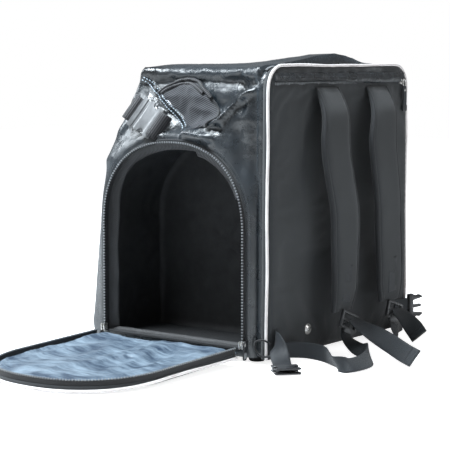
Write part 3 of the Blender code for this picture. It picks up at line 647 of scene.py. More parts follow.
def cut_cloth(loop, step):
    """A closed outline filled with a triangular net: 2-D points, faces and the edge's points."""
    edge = [(p.x, p.y) for p in even([Vector((a, b, 0)) for a, b in list(loop) + [loop[0]]], step)][:-1]
    low = (min(p[0] for p in edge), min(p[1] for p in edge))
    high = (max(p[0] for p in edge), max(p[1] for p in edge))
    points = [Vector(p) for p in edge]
    row = 0
    b = low[1] + step * 0.6
    while b < high[1]:
        a = low[0] + step * (0.6 if row % 2 else 0.1)
        while a < high[0]:
            if inside((a, b), edge) and nearest((a, b), edge)[1] > step * 0.6:
                points.append(Vector((a, b)))
            a += step
        b += step * 0.866
        row += 1
    links = [(n, (n + 1) % len(edge)) for n in range(len(edge))]
    spots, _, faces, *_ = delaunay_2d_cdt(points, links, [], 1, 1e-6)
    return [(p.x, p.y) for p in spots], [tuple(f) for f in faces], len(edge)


# ---------------------------------------------------------------- cloth

WAITING = []
CLOTH_FRAMES = 18


def soften(obj, pinned, shrink, bend, cap, tension=15.0, pressure=0.0):
    """Queue a piece for the cloth run; pinned holds the vertices that stay put."""
    group = obj.vertex_groups.new(name="held")
    group.add([int(n) for n in pinned], 1.0, "REPLACE")
    cloth = obj.modifiers.new("cloth", "CLOTH")
    s = cloth.settings
    s.quality = 5
    s.mass = 0.3
    s.tension_stiffness = tension
    s.compression_stiffness = tension
    s.shear_stiffness = tension * 0.4
    s.bending_stiffness = bend
    s.tension_damping = 8.0
    s.compression_damping = 8.0
    s.shear_damping = 8.0
    s.air_damping = 4.0
    s.vertex_group_mass = "held"
    s.pin_stiffness = 5.0
    s.shrink_min = shrink
    s.effector_weights.gravity = 0.0
    if pressure:
        s.use_pressure = True
        s.uniform_pressure_force = pressure
    cloth.collision_settings.use_collision = False
    cloth.collision_settings.use_self_collision = False
    cloth.point_cache.frame_start = 1
    cloth.point_cache.frame_end = 60
    WAITING.append((obj, cap))


def run_cloth():
    """Let all queued cloth settle, then keep it, with each point's travel capped."""
    scene = bpy.context.scene
    for n in range(1, CLOTH_FRAMES + 1):
        scene.frame_set(n)
    deps = bpy.context.evaluated_depsgraph_get()
    for obj, cap in WAITING:
        settled = obj.evaluated_get(deps).data
        start = np.array([v.co for v in obj.data.vertices])
        now = np.array([v.co for v in settled.vertices])
        travel = now - start
        length = np.linalg.norm(travel, axis=1, keepdims=True)
        length[~np.isfinite(length)] = 0.0
        travel[~np.isfinite(travel)] = 0.0
        scale = np.where(length > 1e-9, cap * np.tanh(length / cap) / np.maximum(length, 1e-9), 0.0)
        ended = start + travel * scale
        obj.modifiers.clear()
        obj.data.vertices.foreach_set("co", ended.astype(np.float32).ravel())
        obj.data.update()
    scene.frame_set(1)


# ---------------------------------------------------------------- shell

CELL = 0.0050
RIM_Z = 0.449
HEM_Z = 0.0102
SHELL_ROWS = int(round((RIM_Z - HEM_Z) / CELL))
SIDE_CELLS = int(round((FRONT_Y - SHELL_BACK_Y) / CELL))
FRONT_CELLS = 74
ROLL_Z = 0.442
SLACK_START_Z = 0.31
LEFT_FOLDS = (
    # (y, z) to (y, z), half width, rise
    ((-0.120, 0.442), (0.118, 0.440), 0.0100, 0.0080),
    ((-0.120, 0.4255), (0.020, 0.4265), 0.0060, -0.0070),
    ((0.020, 0.4265), (0.100, 0.421), 0.0060, -0.0050),
    ((-0.022, 0.347), (-0.072, 0.342), 0.0060, 0.0120),
    ((-0.076, 0.360), (-0.084, 0.354), 0.0050, -0.0070),
    ((-0.148, 0.428), (-0.128, 0.421), 0.0110, 0.0080),
    ((-0.150, 0.440), (-0.118, 0.436), 0.0060, 0.0060),
    ((-0.140, 0.424), (-0.150, 0.418), 0.0050, -0.0050),
    ((-0.105, 0.398), (-0.092, 0.420), 0.0050, 0.0045),
    ((-0.120, 0.352), (-0.128, 0.300), 0.010, -0.004),
    ((-0.140, 0.400), (-0.146, 0.320), 0.006, 0.003),
    ((0.085, 0.395), (0.140, 0.345), 0.010, 0.006),
    ((0.070, 0.352), (0.130, 0.318), 0.009, -0.004),
    ((0.110, 0.330), (0.160, 0.296), 0.010, 0.006),
    ((-0.118, 0.255), (-0.142, 0.205), 0.006, 0.002),
)
# (y, z) along the crest of the long crease over the -X arch
RIDGE = ((-0.152, 0.424), (-0.120, 0.404), (-0.085, 0.373), (-0.058, 0.362), (-0.008, 0.347), (0.045, 0.342),
         (0.090, 0.352), (0.170, 0.352))
# (y, depth) of the hollow between that crest and the roll at the top edge
VALLEY = ((-0.152, 0.012), (-0.125, 0.020), (-0.080, 0.027), (-0.020, 0.024), (0.030, 0.016), (0.085, 0.008),
          (0.170, 0.002))


def along(rows, y):
    """A straight-line reading of (y, value) rows."""
    return float(np.interp(y, [r[0] for r in rows], [r[1] for r in rows]))


def segment_gap(p, a, b):
    """Distance from p to the segment a to b, in 2-D."""
    dx = b[0] - a[0]
    dy = b[1] - a[1]
    t = ((p[0] - a[0]) * dx + (p[1] - a[1]) * dy) / (dx * dx + dy * dy)
    t = min(max(t, 0.0), 1.0)
    return math.hypot(p[0] - a[0] - dx * t, p[1] - a[1] - dy * t)


def shoulder_rise(y, z, sign):
    """How far folds and crumples lift the side above its smooth shape."""
    rise = 0.0
    if sign < 0:
        for a, b, width, height in LEFT_FOLDS:
            gap = segment_gap((y, z), a, b)
            if gap < width * 2.6:
                rise += height * math.exp(-(gap / width) ** 2)
        ridge = along(RIDGE, y) + 0.004 * wobble((y, 0.0, 0.0), 28.0, 2.0)
        share = (z - ridge) / max(ROLL_Z - ridge, 0.02)
        if share > 0:
            t = share / 0.24
            rise -= along(VALLEY, y) * t * math.exp(1 - t) * max(1 - share, 0.0) ** 0.3
        near_back = min(max((-0.055 - y) / 0.02, 0.0), 1.0)
        rise += 0.0125 * math.exp(-((z - ridge + 0.003) / 0.0065) ** 2) * near_back
    soft = min(max((z - SLACK_START_Z) / 0.06, 0.0), 1.0)
    place = (sign * 0.3, y, z)
    rise += soft * 0.0042 * (1 - 2 * abs(wobble(place, 22.0, 3.0)))
    rise += soft * 0.0028 * (1 - 2 * abs(wobble(place, 47.0, 9.0)))
    rise += 0.0012 * wobble(place, 16.0, 5.0)
    return rise


def side_point(y, z, sign, loop):
    """A point on the visual side."""
    near = nearest((y, z), loop)[1]
    share = min(near / 0.040, 1.0)
    share = share * share * (3 - 2 * share)
    x = SIDE_X + (side_x(y, z) - SIDE_X) * share
    held = min(near / 0.018, 1.0) * min((y - SHELL_BACK_Y) / 0.014, 1.0)
    return Vector((sign * (x + shoulder_rise(y, z, sign) * max(held, 0.0)), y, z))


def lower_bulge(z):
    """How far the slack front hangs out towards the floor, tucked under at its foot."""
    return 0.017 * max(1 - z / KNEE_Z, 0.0) * min(max((z + 0.012) / 0.045, 0.0), 1.0)


def shell_walls(loop):
    """Rows of points round the left side, the front and the right side, with eased front corners."""
    points = []
    for i in range(SHELL_ROWS + 1):
        z = HEM_Z + (RIM_Z - HEM_Z) * i / SHELL_ROWS
        far = front_y(z) + lower_bulge(z)
        depths = [SHELL_BACK_Y + (far - SHELL_BACK_Y) * j / SIDE_CELLS for j in range(SIDE_CELLS + 1)]
        row = [side_point(y, z, -1, loop) for y in depths]
        left_x = row[-1].x
        for j in range(1, FRONT_CELLS):
            s = 2 * j / FRONT_CELLS - 1
            ripple = 0.0025 * wobble((s, 0.0, z), 9.0, 4.0) * (1 - s * s)
            row.append(Vector((-left_x * s, far + 0.004 * (1 - s * s) + ripple, z)))
        row += [side_point(y, z, 1, loop) for y in reversed(depths)]
        points.append(row)
    for corner in (SIDE_CELLS, SIDE_CELLS + FRONT_CELLS):
        for row in points * 5:
            before = [row[corner + k].copy() for k in range(-4, 5)]
            for k in range(1, 8):
                spot = (before[k - 1] + before[k + 1]) / 2
                row[corner - 4 + k] = Vector((spot.x, spot.y, row[corner - 4 + k].z))
    return points


def roof_rise(u, v, spot):
    """How far the roof stands above its border, at shares u across and v from the back."""
    edge = 1 - (1 - min(min(u, 1 - u) / 0.10, 1.0)) ** 2
    ahead = 1 - (1 - min((1 - v) / 0.15, 1.0)) ** 2
    peak = math.exp(-((u - 0.50) / 0.24) ** 2) * math.exp(-(v / 0.42) ** 2)
    rise = 0.0035 * edge * ahead + 0.0175 * peak * edge
    rise += 0.0016 * wobble((spot.x, spot.y, 0.4), 13.0, 2.0) * edge * ahead
    return rise + 0.0020 * (1 - 2 * abs(wobble((spot.x, spot.y, 0.1), 24.0, 6.0))) * edge * ahead - 0.001


def add_roof(top, verts, uv, faces):
    """Fill the walls' last row with a roof; returns the roof's vertex numbers by (depth, width)."""
    left = top[:SIDE_CELLS + 1]
    front = top[SIDE_CELLS:SIDE_CELLS + FRONT_CELLS + 1]
    right = top[SIDE_CELLS + FRONT_CELLS:][::-1]
    first = len(verts) - len(top)
    index = {}
    for j in range(SIDE_CELLS + 1):
        index[(j, 0)] = first + j
        index[(j, FRONT_CELLS)] = first + len(top) - 1 - j
    for k in range(FRONT_CELLS + 1):
        index[(SIDE_CELLS, k)] = first + SIDE_CELLS + k
    for j in range(SIDE_CELLS):
        v = j / SIDE_CELLS
        for k in range(1, FRONT_CELLS):
            u = k / FRONT_CELLS
            back = left[0].lerp(right[0], u)
            flat = left[j].lerp(right[j], u) + back.lerp(front[k], v)
            flat -= back.lerp(front[0].lerp(front[-1], u), v)
            index[(j, k)] = len(verts)
            verts.append(flat + Vector((0, 0, roof_rise(u, v, flat))))
            uv.append((flat.x, flat.y))
    for j in range(SIDE_CELLS):
        for k in range(FRONT_CELLS):
            faces.append((index[(j, k)], index[(j, k + 1)], index[(j + 1, k + 1)], index[(j + 1, k)]))
    return index


def cut_arches(verts, faces, count, loop):
    """Leave out the faces inside both arches and draw the rim onto their outline: faces and rim."""
    over = {}
    for sign in (-1, 1):
        for n, p in enumerate(verts[:count]):
            if p.x * sign > 0.18 and abs(p.y) < 0.16 and p.z < 0.36:
                over[n] = inside((p.y, p.z), loop)
    kept = [f for f in faces if not any(over.get(n, False) for n in f)]
    uses = {}
    for f in kept:
        for k in range(len(f)):
            key = tuple(sorted((f[k], f[k - 1])))
            uses[key] = uses.get(key, 0) + 1
    rim = set()
    for (a, b), times in uses.items():
        if times == 1 and a in over and b in over:
            for n in (a, b):
                spot, gap = nearest((verts[n].y, verts[n].z), loop)
                on_edge = verts[n].y < SHELL_BACK_Y + 0.002 or verts[n].z < HEM_Z + 0.002
                if gap < 2.5 * CELL and not on_edge:
                    rim.add(n)
                    verts[n] = Vector((math.copysign(SIDE_X, verts[n].x), spot[0], spot[1]))
    return kept, rim


def build_shell():
    """Both sides, the front and the top as one soft skin, open at the back and at the arches."""
    loop = sill_outline(0.0, ARCH_SILL_Z)
    points = shell_walls(loop)
    cols = len(points[0])
    verts = [p for row in points for p in row]
    count = len(verts)
    uv = []
    for row in points:
        run = 0.0
        for j, p in enumerate(row):
            if j:
                run += (p - row[j - 1]).length
            uv.append((run, p.z))
    faces = grid_faces(SHELL_ROWS + 1, cols)
    index = add_roof(points[-1], verts, uv, faces)

    brink = [i * cols for i in range(SHELL_ROWS)] + [index[(0, k)] for k in range(FRONT_CELLS + 1)]
    brink += [i * cols + cols - 1 for i in range(SHELL_ROWS - 1, -1, -1)]
    seam = back_outline(0.0018, HEM_Z)
    base = len(verts)
    for n in brink:
        x, z = nearest((verts[n].x, verts[n].z), seam)[0]
        verts.append(Vector((x, SEAM_Y, z)))
        uv.append((uv[n][0] - 0.006, uv[n][1]))
    for n in range(len(brink) - 1):
        faces.append((brink[n], brink[n + 1], base + n + 1, base + n))

    kept, rim = cut_arches(verts, faces, count, loop)
    used = sorted({n for f in kept for n in f})
    place = {n: i for i, n in enumerate(used)}
    shell = piece("shell_skin", [verts[n] for n in used], [tuple(place[n] for n in f) for f in kept],
                  SHELL, "bag", [uv[n] for n in used], "shell_fabric")
    pinned = []
    for n in used:
        p = verts[n]
        on_back = p.y < SEAM_Y + 0.001
        on_crest = -0.150 < p.y < -0.070 and p.x < 0 and abs(p.z + 0.003 - along(RIDGE, p.y)) < 0.004
        if n in rim or on_back or on_crest or p.z < 0.013:
            pinned.append(place[n])
    soften(shell, pinned, shrink=-0.028, bend=0.06, tension=12.0, cap=0.007)
    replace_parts(shell, "left_side_panel", "right_side_panel", "front_panel", "top_panel")


# ---------------------------------------------------------------- back panel and its edge

POCKET_ZIP_Z = 0.425
TOOTH_PITCH = 0.0046
TOOTH_WIDTH = 0.0019
GUSSET_Y = -0.1567
MAIN_ZIP_Y = -0.1575
MAIN_ZIP_LOW_Z = 0.262
MAIN_ZIP_LEFT_Z = 0.445
SNAP_HOLD_R = 0.014
PIPING_R = 0.0024


def wavy(points, size, scale, seed):
    """The same line with small smooth waves."""
    return [p + Vector([wobble(p, scale, seed + k) for k in (0.0, 4.0, 8.0)]) * size for p in points]


def back_face(x, z):
    """How far the padded back panel stands out behind its plane."""
    edge = nearest((x, z), BACK_LOOP)[1]
    puff = 0.0042 * (1 - math.exp(-edge / 0.016))
    puff += 0.0016 * wobble((x, 0, z), 9.0, 1.0)
    above = z - POCKET_ZIP_Z
    if abs(x) < 0.190:
        puff -= 0.0034 * math.exp(-(above / 0.0035) ** 2)
        puff += 0.0018 * math.exp(-((above - 0.010) / 0.006) ** 2)
    if z > 0.40:
        rough = min((z - 0.40) / 0.02, 1.0)
        puff += rough * 0.0012 * (1 - 2 * abs(wobble((x, 0, z * 2.4), 30.0, 7.0)))
    return puff


def closed_back():
    """The back panel's outline closed along its lower edge."""
    outline = back_outline(0.0002)
    return outline + [(outline[-1][0] * (1 - 2 * n / 80), BACK_BOTTOM_Z) for n in range(1, 80)]


BACK_LOOP = closed_back()


def build_back():
    """The padded back panel, the gusset beside it and the piping between them."""
    spots, faces, edge = cut_cloth(BACK_LOOP, 0.0062)
    verts = [Vector((x, BACK_Y - back_face(x, z), z)) for x, z in spots]
    rim = [Vector((x, BACK_Y + BACK_THICK, z)) for x, z in spots[:edge]]
    mid = [Vector((x, BACK_Y + BACK_THICK * 0.5, z)) for x, z in spots[:edge]]
    base = len(verts)
    verts += mid + rim
    faces = list(faces)
    for n in range(edge):
        m = (n + 1) % edge
        faces.append((n, m, base + m, base + n))
        faces.append((base + n, base + m, base + edge + m, base + edge + n))
    faces.append(tuple(base + edge + n for n in range(edge)))
    uv = list(spots) + list(spots[:edge]) * 2
    panel = piece("back_cloth", verts, faces, PANEL, "bag", uv, "back_fabric")
    snap = centre_of("back_snap")
    pinned = [n for n, p in enumerate(verts) if n < edge or n >= base or abs(p.z - POCKET_ZIP_Z) < 0.004
              or math.hypot(p.x - snap.x, p.z - snap.z) < SNAP_HOLD_R]
    soften(panel, pinned, shrink=-0.010, bend=0.4, tension=15.0, cap=0.003)
    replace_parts(panel, "back_panel", "back_frame_sheet")

    outline = [Vector((x, GUSSET_Y, z)) for x, z in back_outline(0.003, 0.0125)]
    frames = frames_with_normal(even(outline, 0.006), (0, 1, 0))
    shape = [(-0.0060, -0.0004), (-0.004, 0.0008), (0.0, 0.0012), (0.004, 0.0010), (0.0060, 0.0002),
             (0, -0.0012)]
    band = sweep("gusset_band", frames, shape, SHELL, "bag", "shell_fabric")
    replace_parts(band, "back_gusset")

    outline = [Vector((x, BACK_Y + 0.0012, z)) for x, z in back_outline(-0.0022, 0.010)]
    line = even(wavy(even(outline, 0.004), 0.0022, 11.0, 3.0), 0.004)
    cord = sweep("back_piping_cord", frames_with_normal(line, (0, 1, 0)), ring(PIPING_R, 8), CORD, "bag",
                 "piping_white")
    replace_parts(cord, "back_piping")
    flange = [Vector((x, BACK_Y + 0.0034, z)) for x, z in back_outline(-0.0004, 0.010)]
    sweep("back_piping_flange", frames_with_normal(even(flange, 0.006), (0, 1, 0)), ring(0.0014, 6), BINDING,
          "bag", "piping_white")

    line = [Vector((x, BACK_Y - back_face(x, z) - 0.0002, z)) for x, z in back_outline(0.007, 0.020)]
    stitches("back_edge_stitches", line, (0, -1, 0), DARK_THREAD, "bag", slot="back_fabric")


def teeth(name, frames, depth, height, body, turn=1):
    """Zip teeth: a small tapered block at each frame, standing out by height along v."""
    verts = []
    faces = []
    uv = []
    for centre, u, v, t in frames:
        base = len(verts)
        for a, b, c in ((-1, 0, -1), (1, 0, -1), (1, 0, 1), (-1, 0, 1), (-0.7, 1, -0.6), (0.7, 1, -0.6),
                        (0.7, 1, 0.6), (-0.7, 1, 0.6), (-1, -1, -1), (1, -1, -1), (1, -1, 1), (-1, -1, 1)):
            rise = height * (0.55 if b == 0 else (1.0 if b > 0 else -0.4))
            verts.append(centre + u * (a * depth / 2) + v * rise * turn + t * (c * TOOTH_WIDTH / 2))
            uv.append((a * 0.001, c * 0.001))
        for k in range(4):
            m = (k + 1) % 4
            faces.append((base + k, base + m, base + 4 + m, base + 4 + k))
            faces.append((base + 8 + k, base + 8 + m, base + m, base + k))
        faces.append((base + 4, base + 5, base + 6, base + 7))
        faces.append((base + 11, base + 10, base + 9, base + 8))
    return piece(name, verts, faces, TEETH, body, uv, "zip_black", smooth=False)


def build_main_zip():
    """The main zip over the top of the gusset, with its slider and pull."""
    outline = [Vector((x, MAIN_ZIP_Y, z)) for x, z in back_outline(0.0002, MAIN_ZIP_LOW_Z)
               if x > 0 or z > MAIN_ZIP_LEFT_Z]
    frames = frames_with_normal(even(outline, 0.0036), (0, 1, 0))
    tape = sweep("main_zip_tape", frames, strap_profile(0.0080, 0.0010), TAPE, "bag", "zip_black")
    up = 1 if frames[len(frames) // 2][2].z > 0 else -1
    teeth("main_zip_teeth", frames, 0.0046, 0.0016, "bag", up)
    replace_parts(tape, "main_zip")

    slant = math.sqrt(1 + EDGE_LEAN ** 2)
    down = Vector((EDGE_LEAN, 0, -1)) / slant
    out = Vector((1, 0, EDGE_LEAN)) / slant
    side = Vector((0, 1, 0))
    centre = centre_of("main_zip_slider")

    def at(a, b, c):
        return centre + side * a - down * b + out * c

    outline = [(-0.0045, 0.006), (0.0045, 0.006), (0.0055, 0.002), (0.0035, -0.006), (-0.0035, -0.006),
               (-0.0055, 0.002)]
    slider = plate("main_slider_body", outline, 0.0036, at, SILVER, "main_slider", "silver_metal")
    bridge = [at(0, b, c) for b, c in ((0.005, 0.0018), (0.003, 0.0040), (-0.002, 0.0042), (-0.005, 0.0018))]
    sweep("main_slider_bridge", frames_with_normal(curve(bridge, 4), side), ring(0.0011, 8), SILVER,
          "main_slider", "silver_metal")
    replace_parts(slider, "main_zip_slider")
    top = centre + out * 0.0042 - down * 0.004
    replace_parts(long_pull("main_pull", top, down, side, out, "main_pull"), "main_zip_pull")


def long_pull(name, top, down, across, out, body):
    """A cloth-tab pull: a metal link, a folded webbing tab with bound edges and a rivet."""
    def at(a, b, c):
        return top + across * a + down * b + out * c

    link = [at(a, 0.0068 + b, 0.0003) for a, b in ring(0.0034, 16, 0.0072 / 0.0034)]
    sweep(name + "_link", frames_with_normal(link, out), ring(0.0009, 8), SILVER, body,
          "silver_metal", closed=True)
    tab = []
    for n in range(15):
        s = n / 14
        tab.append(at(0.0006 * math.sin(4 * s), 0.0105 + 0.040 * s, 0.0003 + 0.0008 * math.sin(3.0 * s)))
    strip = sweep(name + "_tab", frames_with_normal(tab, across), strap_profile(0.0105, 0.0026, 0.0003),
                  WEB, body, "webbing_black")
    plate(name + "_end", rounded(0.0120, 0.0120, 0.0032), 0.0036,
          lambda a, b, c: at(a, 0.0470 + b, 0.0006 + c), BUCKLE, body, "buckle_plastic")
    plate(name + "_rivet", ring(0.0022, 16), 0.0044,
          lambda a, b, c: at(a, 0.0175 + b, 0.0006 + c), SILVER, body, "silver_metal")
    return strip


def build_pocket_zip():
    """The strap pocket's zip across the back panel, its cover flap, slider and pull."""
    line = [Vector((-0.184 + 0.368 * n / 94, BACK_Y - 0.0006, POCKET_ZIP_Z - 0.0004)) for n in range(95)]
    frames = frames_with_normal(line, (0, 0, 1))
    tape = sweep("pocket_zip_tape", frames, strap_profile(0.0105, 0.0010), TAPE, "bag", "zip_black")
    out = 1 if frames[0][2].y < 0 else -1
    teeth("pocket_zip_teeth", frames, 0.0042, 0.0016, "bag", out)
    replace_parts(tape, "strap_pocket_zip")

    rows = []
    for m in range(7):
        s = m / 6
        row = []
        for n in range(85):
            x = -0.190 + 0.380 * n / 84
            lift = 0.5 + 0.5 * math.tanh((x - 0.010) / 0.03) if x < 0.06 else 1.0
            low = POCKET_ZIP_Z + 0.0052 - 0.0072 * lift + 0.0008 * wobble((x, 0, 0), 40.0, 2.0)
            z = POCKET_ZIP_Z + 0.0150 + (low - POCKET_ZIP_Z - 0.0150) * s
            bow = 0.0016 * math.sin(math.pi * min(s * 0.62, 1.0))
            y = BACK_Y - back_face(x, z + 0.004 * s) - 0.0004 - bow
            y -= 0.0006 * wobble((x, 0, z), 35.0, 5.0) * s
            row.append(Vector((x, y, z)))
        rows.append(row)
    flap = grid_piece("pocket_zip_flap", rows, SHELL, "bag", "shell_fabric")
    thicken(flap, 0.0009)
    hem = [rows[-1][n] + Vector((0, -0.0002, 0.0001)) for n in range(85)]
    sweep("pocket_flap_hem", frames_with_normal(hem, (0, 0, 1)), ring(0.0010, 8, 0.8), BINDING, "bag",
          "shell_fabric")
    line = [rows[3][n] + Vector((0, -0.0008, 0)) for n in range(85)]
    stitches("pocket_flap_stitches", line, (0, -1, 0), DARK_THREAD, "bag", slot="shell_fabric")

    centre = centre_of("strap_pocket_slider")
    outline = [(-0.0068, -0.0035), (0.001, -0.0050), (0.0068, -0.0042), (0.0068, 0.0042), (0.001, 0.0050),
               (-0.0068, 0.0035)]

    def at(a, b, c):
        return centre + Vector((a, -c, b))

    slider = plate("pocket_slider_body", outline, 0.0036, at, SILVER, "pocket_slider", "silver_metal")
    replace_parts(slider, "strap_pocket_slider")
    for k in range(4):
        angle = math.radians(45 + 90 * k)
        arm = [at(0, 0, 0.0026), at(0.0060 * math.cos(angle), 0.0060 * math.sin(angle), 0.0022)]
        sweep("pocket_slider_arm_%d" % k, frames_with_normal(curve(arm, 3), (0, -1, 0)), ring(0.0011, 6),
              SILVER, "pocket_slider", "silver_metal")
    low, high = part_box("strap_pocket_pull")
    top = Vector(((low.x + high.x) / 2, (low.y + high.y) / 2 - 0.0018, high.z))
    pull = long_pull("pocket_pull", top, Vector((0, 0, -1)), Vector((1, 0, 0)), Vector((0, -1, 0)),
                     "pocket_pull")
    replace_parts(pull, "strap_pocket_pull")


# ---------------------------------------------------------------- skate compartments

MIDDLE_Z = 0.165
LINING_LOW_Z = 0.0168
LINING_TOP_Z = 0.3375
LINING_MOUTH_X = 0.2055
LINING_BACK_X = 0.0765


def build_lining(prefix, sign):
    """The dark lining of a skate compartment, a creased box that ends in a flat wall."""
    mouth = [(p.x, p.y) for p in even([Vector((a, b, 0)) for a, b in sill_outline(0.0006, ARCH_SILL_Z)],
                                      0.006)]
    tall = (LINING_TOP_Z - LINING_LOW_Z) / (0.335 - ARCH_SILL_Z)
    deep = [(y / 0.1394 * 0.1385, LINING_LOW_Z + (z - ARCH_SILL_Z) * tall) for y, z in mouth]
    rows = []
    for i in range(27):
        t = i / 26
        x = LINING_MOUTH_X - (LINING_MOUTH_X - LINING_BACK_X) * t
        share = min(t / 0.15, 1.0)
        slack = min(t * 5, 1.0)
        row = []
        for (y0, z0), (y1, z1) in zip(mouth, deep):
            y = y0 + (y1 - y0) * share
            z = z0 + (z1 - z0) * share
            crease = 0.0042 * (wobble((x, y, z), 12.0, sign + 6.0) - 0.5)
            crease += 0.0022 * (1 - 2 * abs(wobble((x, y * 1.3, z), 26.0, sign + 2.0))) - 0.002
            pull = 1 + crease * slack / 0.14
            if z1 < 0.02:
                pull = max(pull, 0.99)
            row.append(Vector((sign * x, y * pull, max(LINING_LOW_Z, 0.17 + (z - 0.17) * pull))))
        rows.append(row)
    last = rows[-1]
    for i in range(1, 12):
        t = 1 - i / 12
        rows.append([Vector((p.x + sign * 0.003 * wobble((p.y * t, p.z, 0.2), 14.0, 3.0),
                             p.y * t, MIDDLE_Z + (p.z - MIDDLE_Z) * t)) for p in last])
    count = len(mouth)
    faces = grid_faces(len(rows), count, True)
    faces.append(tuple((len(rows) - 1) * count + j for j in range(count)))
    lining = piece(prefix + "_compartment_lining", [p for row in rows for p in row], faces, LINING, "bag",
                   grid_uv(rows), "shell_fabric")
    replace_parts(lining, prefix + "_compartment_wall")


def build_mouth_facing(prefix, sign):
    """The mesh facing that lines the mouth of a compartment."""
    loop = even([Vector((0, a, b)) for a, b in sill_outline(0.0012, ARCH_SILL_Z)], 0.005)
    rows = []
    for m in range(7):
        s = m / 6
        row = []
        for p in loop:
            wide = 0.013 + 0.006 * wobble((p.y, p.z, sign), 14.0, 2.0)
            if p.z > 0.26 and p.y < -0.04:
                wide += 0.007
            if p.z < ARCH_SILL_Z + 0.001:
                wide = 0.016 * 0.30
            inward = Vector((0, -p.y, MIDDLE_Z - p.z)).normalized()
            if p.z < 0.19:
                inward = Vector((0, -math.copysign(1, p.y), 0.0)) if abs(p.y) > 0.1385 else Vector((0, 0, 1))
            x = 0.2052 - 0.0075 * s - 0.003 * s * s + 0.0022 * wobble((p.y, p.z, s), 42.0, 7.0) * s
            row.append(Vector((sign * x, p.y, p.z)) + inward * wide * s)
        rows.append(row)
    facing = grid_piece(prefix + "_mouth_facing", rows, MESH, "bag", "shell_fabric", closed=True)
    thicken(facing, 0.0010)


def build_mouth_zip(prefix, sign):
    """The zip tape round an arch, its teeth, two rows of stitches and the welt."""
    low_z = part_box(prefix + "_zip_tape")[0].z
    path = even([Vector((sign * BODY_TAPE_X, y, z)) for y, z in arch_outline(0.0009, low_z + 0.0005)],
                TOOTH_PITCH)
    frames = frames_with_normal(path, (1, 0, 0))
    tape = sweep(prefix + "_body_tape", frames, strap_profile(0.0118, 0.0013), TAPE, "bag", "zip_black")
    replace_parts(tape, prefix + "_zip_tape")
    blocks = teeth(prefix + "_body_teeth", frames, 0.0021, 0.0020, "bag")
    shift = Vector((sign * (BODY_TEETH_X - BODY_TAPE_X), 0, 0))
    for vertex in blocks.data.vertices:
        vertex.co += shift
    for inset, tag in ((-0.0035, "near"), (-0.0085, "far")):
        line = [Vector((sign * (SIDE_X + 0.0004), y, z)) for y, z in arch_outline(inset, low_z + 0.004)]
        stitches("%s_arch_stitches_%s" % (prefix, tag), line, (sign, 0, 0), DARK_THREAD, "bag",
                 slot="shell_fabric")
    welt = [Vector((sign * (SIDE_X - 0.0002), y, z)) for y, z in sill_outline(-0.0008, ARCH_SILL_Z)]
    line = even(welt + [welt[0]], 0.006)[:-1]
    shape = [(-0.0012, 0.0016), (0.0012, 0.0018), (0.0020, 0.0), (0.0012, -0.0022), (-0.0012, -0.0022),
             (-0.002, 0)]
    sweep(prefix + "_arch_welt", frames_with_normal(line, (1, 0, 0)), shape, BINDING, "bag", "shell_fabric",
          closed=True)


# ---------------------------------------------------------------- doors

DOOR_FACE_X = DOOR_OUTER_X - 0.0005
DOOR_BACK_X = DOOR_OUTER_X - 0.0046


def door_turn(sign):
    """How a door stands at rest: the -X one lies open, the +X one is closed."""
    return Matrix.Rotation(math.radians(-DOOR_OPEN_DEG if sign < 0 else 0.0), 3, "Y")


def swing(sign, x, y, z):
    """A place of the closed door, x out from the middle, moved to where the door stands at rest."""
    pivot = Vector((sign * HINGE_X, 0, HINGE_Z))
    return pivot + door_turn(sign) @ (Vector((sign * x, y, z)) - pivot)


def build_door_cloth(prefix, sign):
    """The padded outer panel of a door."""
    body = prefix + "_door"
    loop = sill_outline(0.0006, DOOR_START_Z)
    spots, net, edge = cut_cloth(loop, 0.0065)
    verts = []
    for y, z in spots:
        puff = 0.0010 * (1 - math.exp(-nearest((y, z), loop)[1] / 0.02)) * (1.0 if sign > 0 else 0.2)
        verts.append(swing(sign, DOOR_FACE_X + puff, y, z))
    base = len(verts)
    verts += [swing(sign, DOOR_BACK_X + 0.0006, y, z) for y, z in spots]
    faces = list(net) + [tuple(base + n for n in reversed(f)) for f in net]
    for n in range(edge):
        m = (n + 1) % edge
        faces.append((n, m, base + m, base + n))
    panel = piece(body + "_cloth", verts, faces, SHELL, body, spots * 2, "shell_fabric")
    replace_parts(panel, prefix + "_door_panel")
    soften(panel, [*range(edge), *range(base, len(verts))], shrink=-0.006, bend=0.5, cap=0.0012)


def build_door_lining(prefix, sign):
    """The pale satin inside a door, gathered along the arch."""
    body = prefix + "_door"
    start = DOOR_START_Z + 0.0005 if sign < 0 else RIM_START_Z - 0.008
    arch = arch_outline(0.0020, start)
    spots, net, edge = cut_cloth(sill_outline(0.0020, start), 0.0052)
    verts = []
    for y, z in spots:
        rim = nearest((y, z), arch)[1]
        slack = min(rim / 0.012, 1.0)
        rise = 0.0036 + 0.0022 * (1 + wobble((0.0, y * 0.9, z * 0.35), 18.0, sign + 3.0))
        rise += 0.0030 * (1 - 2 * abs(wobble((0.0, y * 1.3, z * 0.40), 18.0, sign + 8.0)))
        side = 0.0045 * math.exp(-rim / 0.006)
        verts.append(swing(sign, DOOR_BACK_X - 0.0006 - max(rise, 0.0) * slack - side, y, z))
    lining = piece(body + "_satin", verts, net, SATIN, body, spots, "lining_satin")
    soften(lining, range(edge), shrink=-0.045, bend=0.03, tension=8.0, cap=0.0028)
    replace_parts(lining, prefix + "_door_lining")


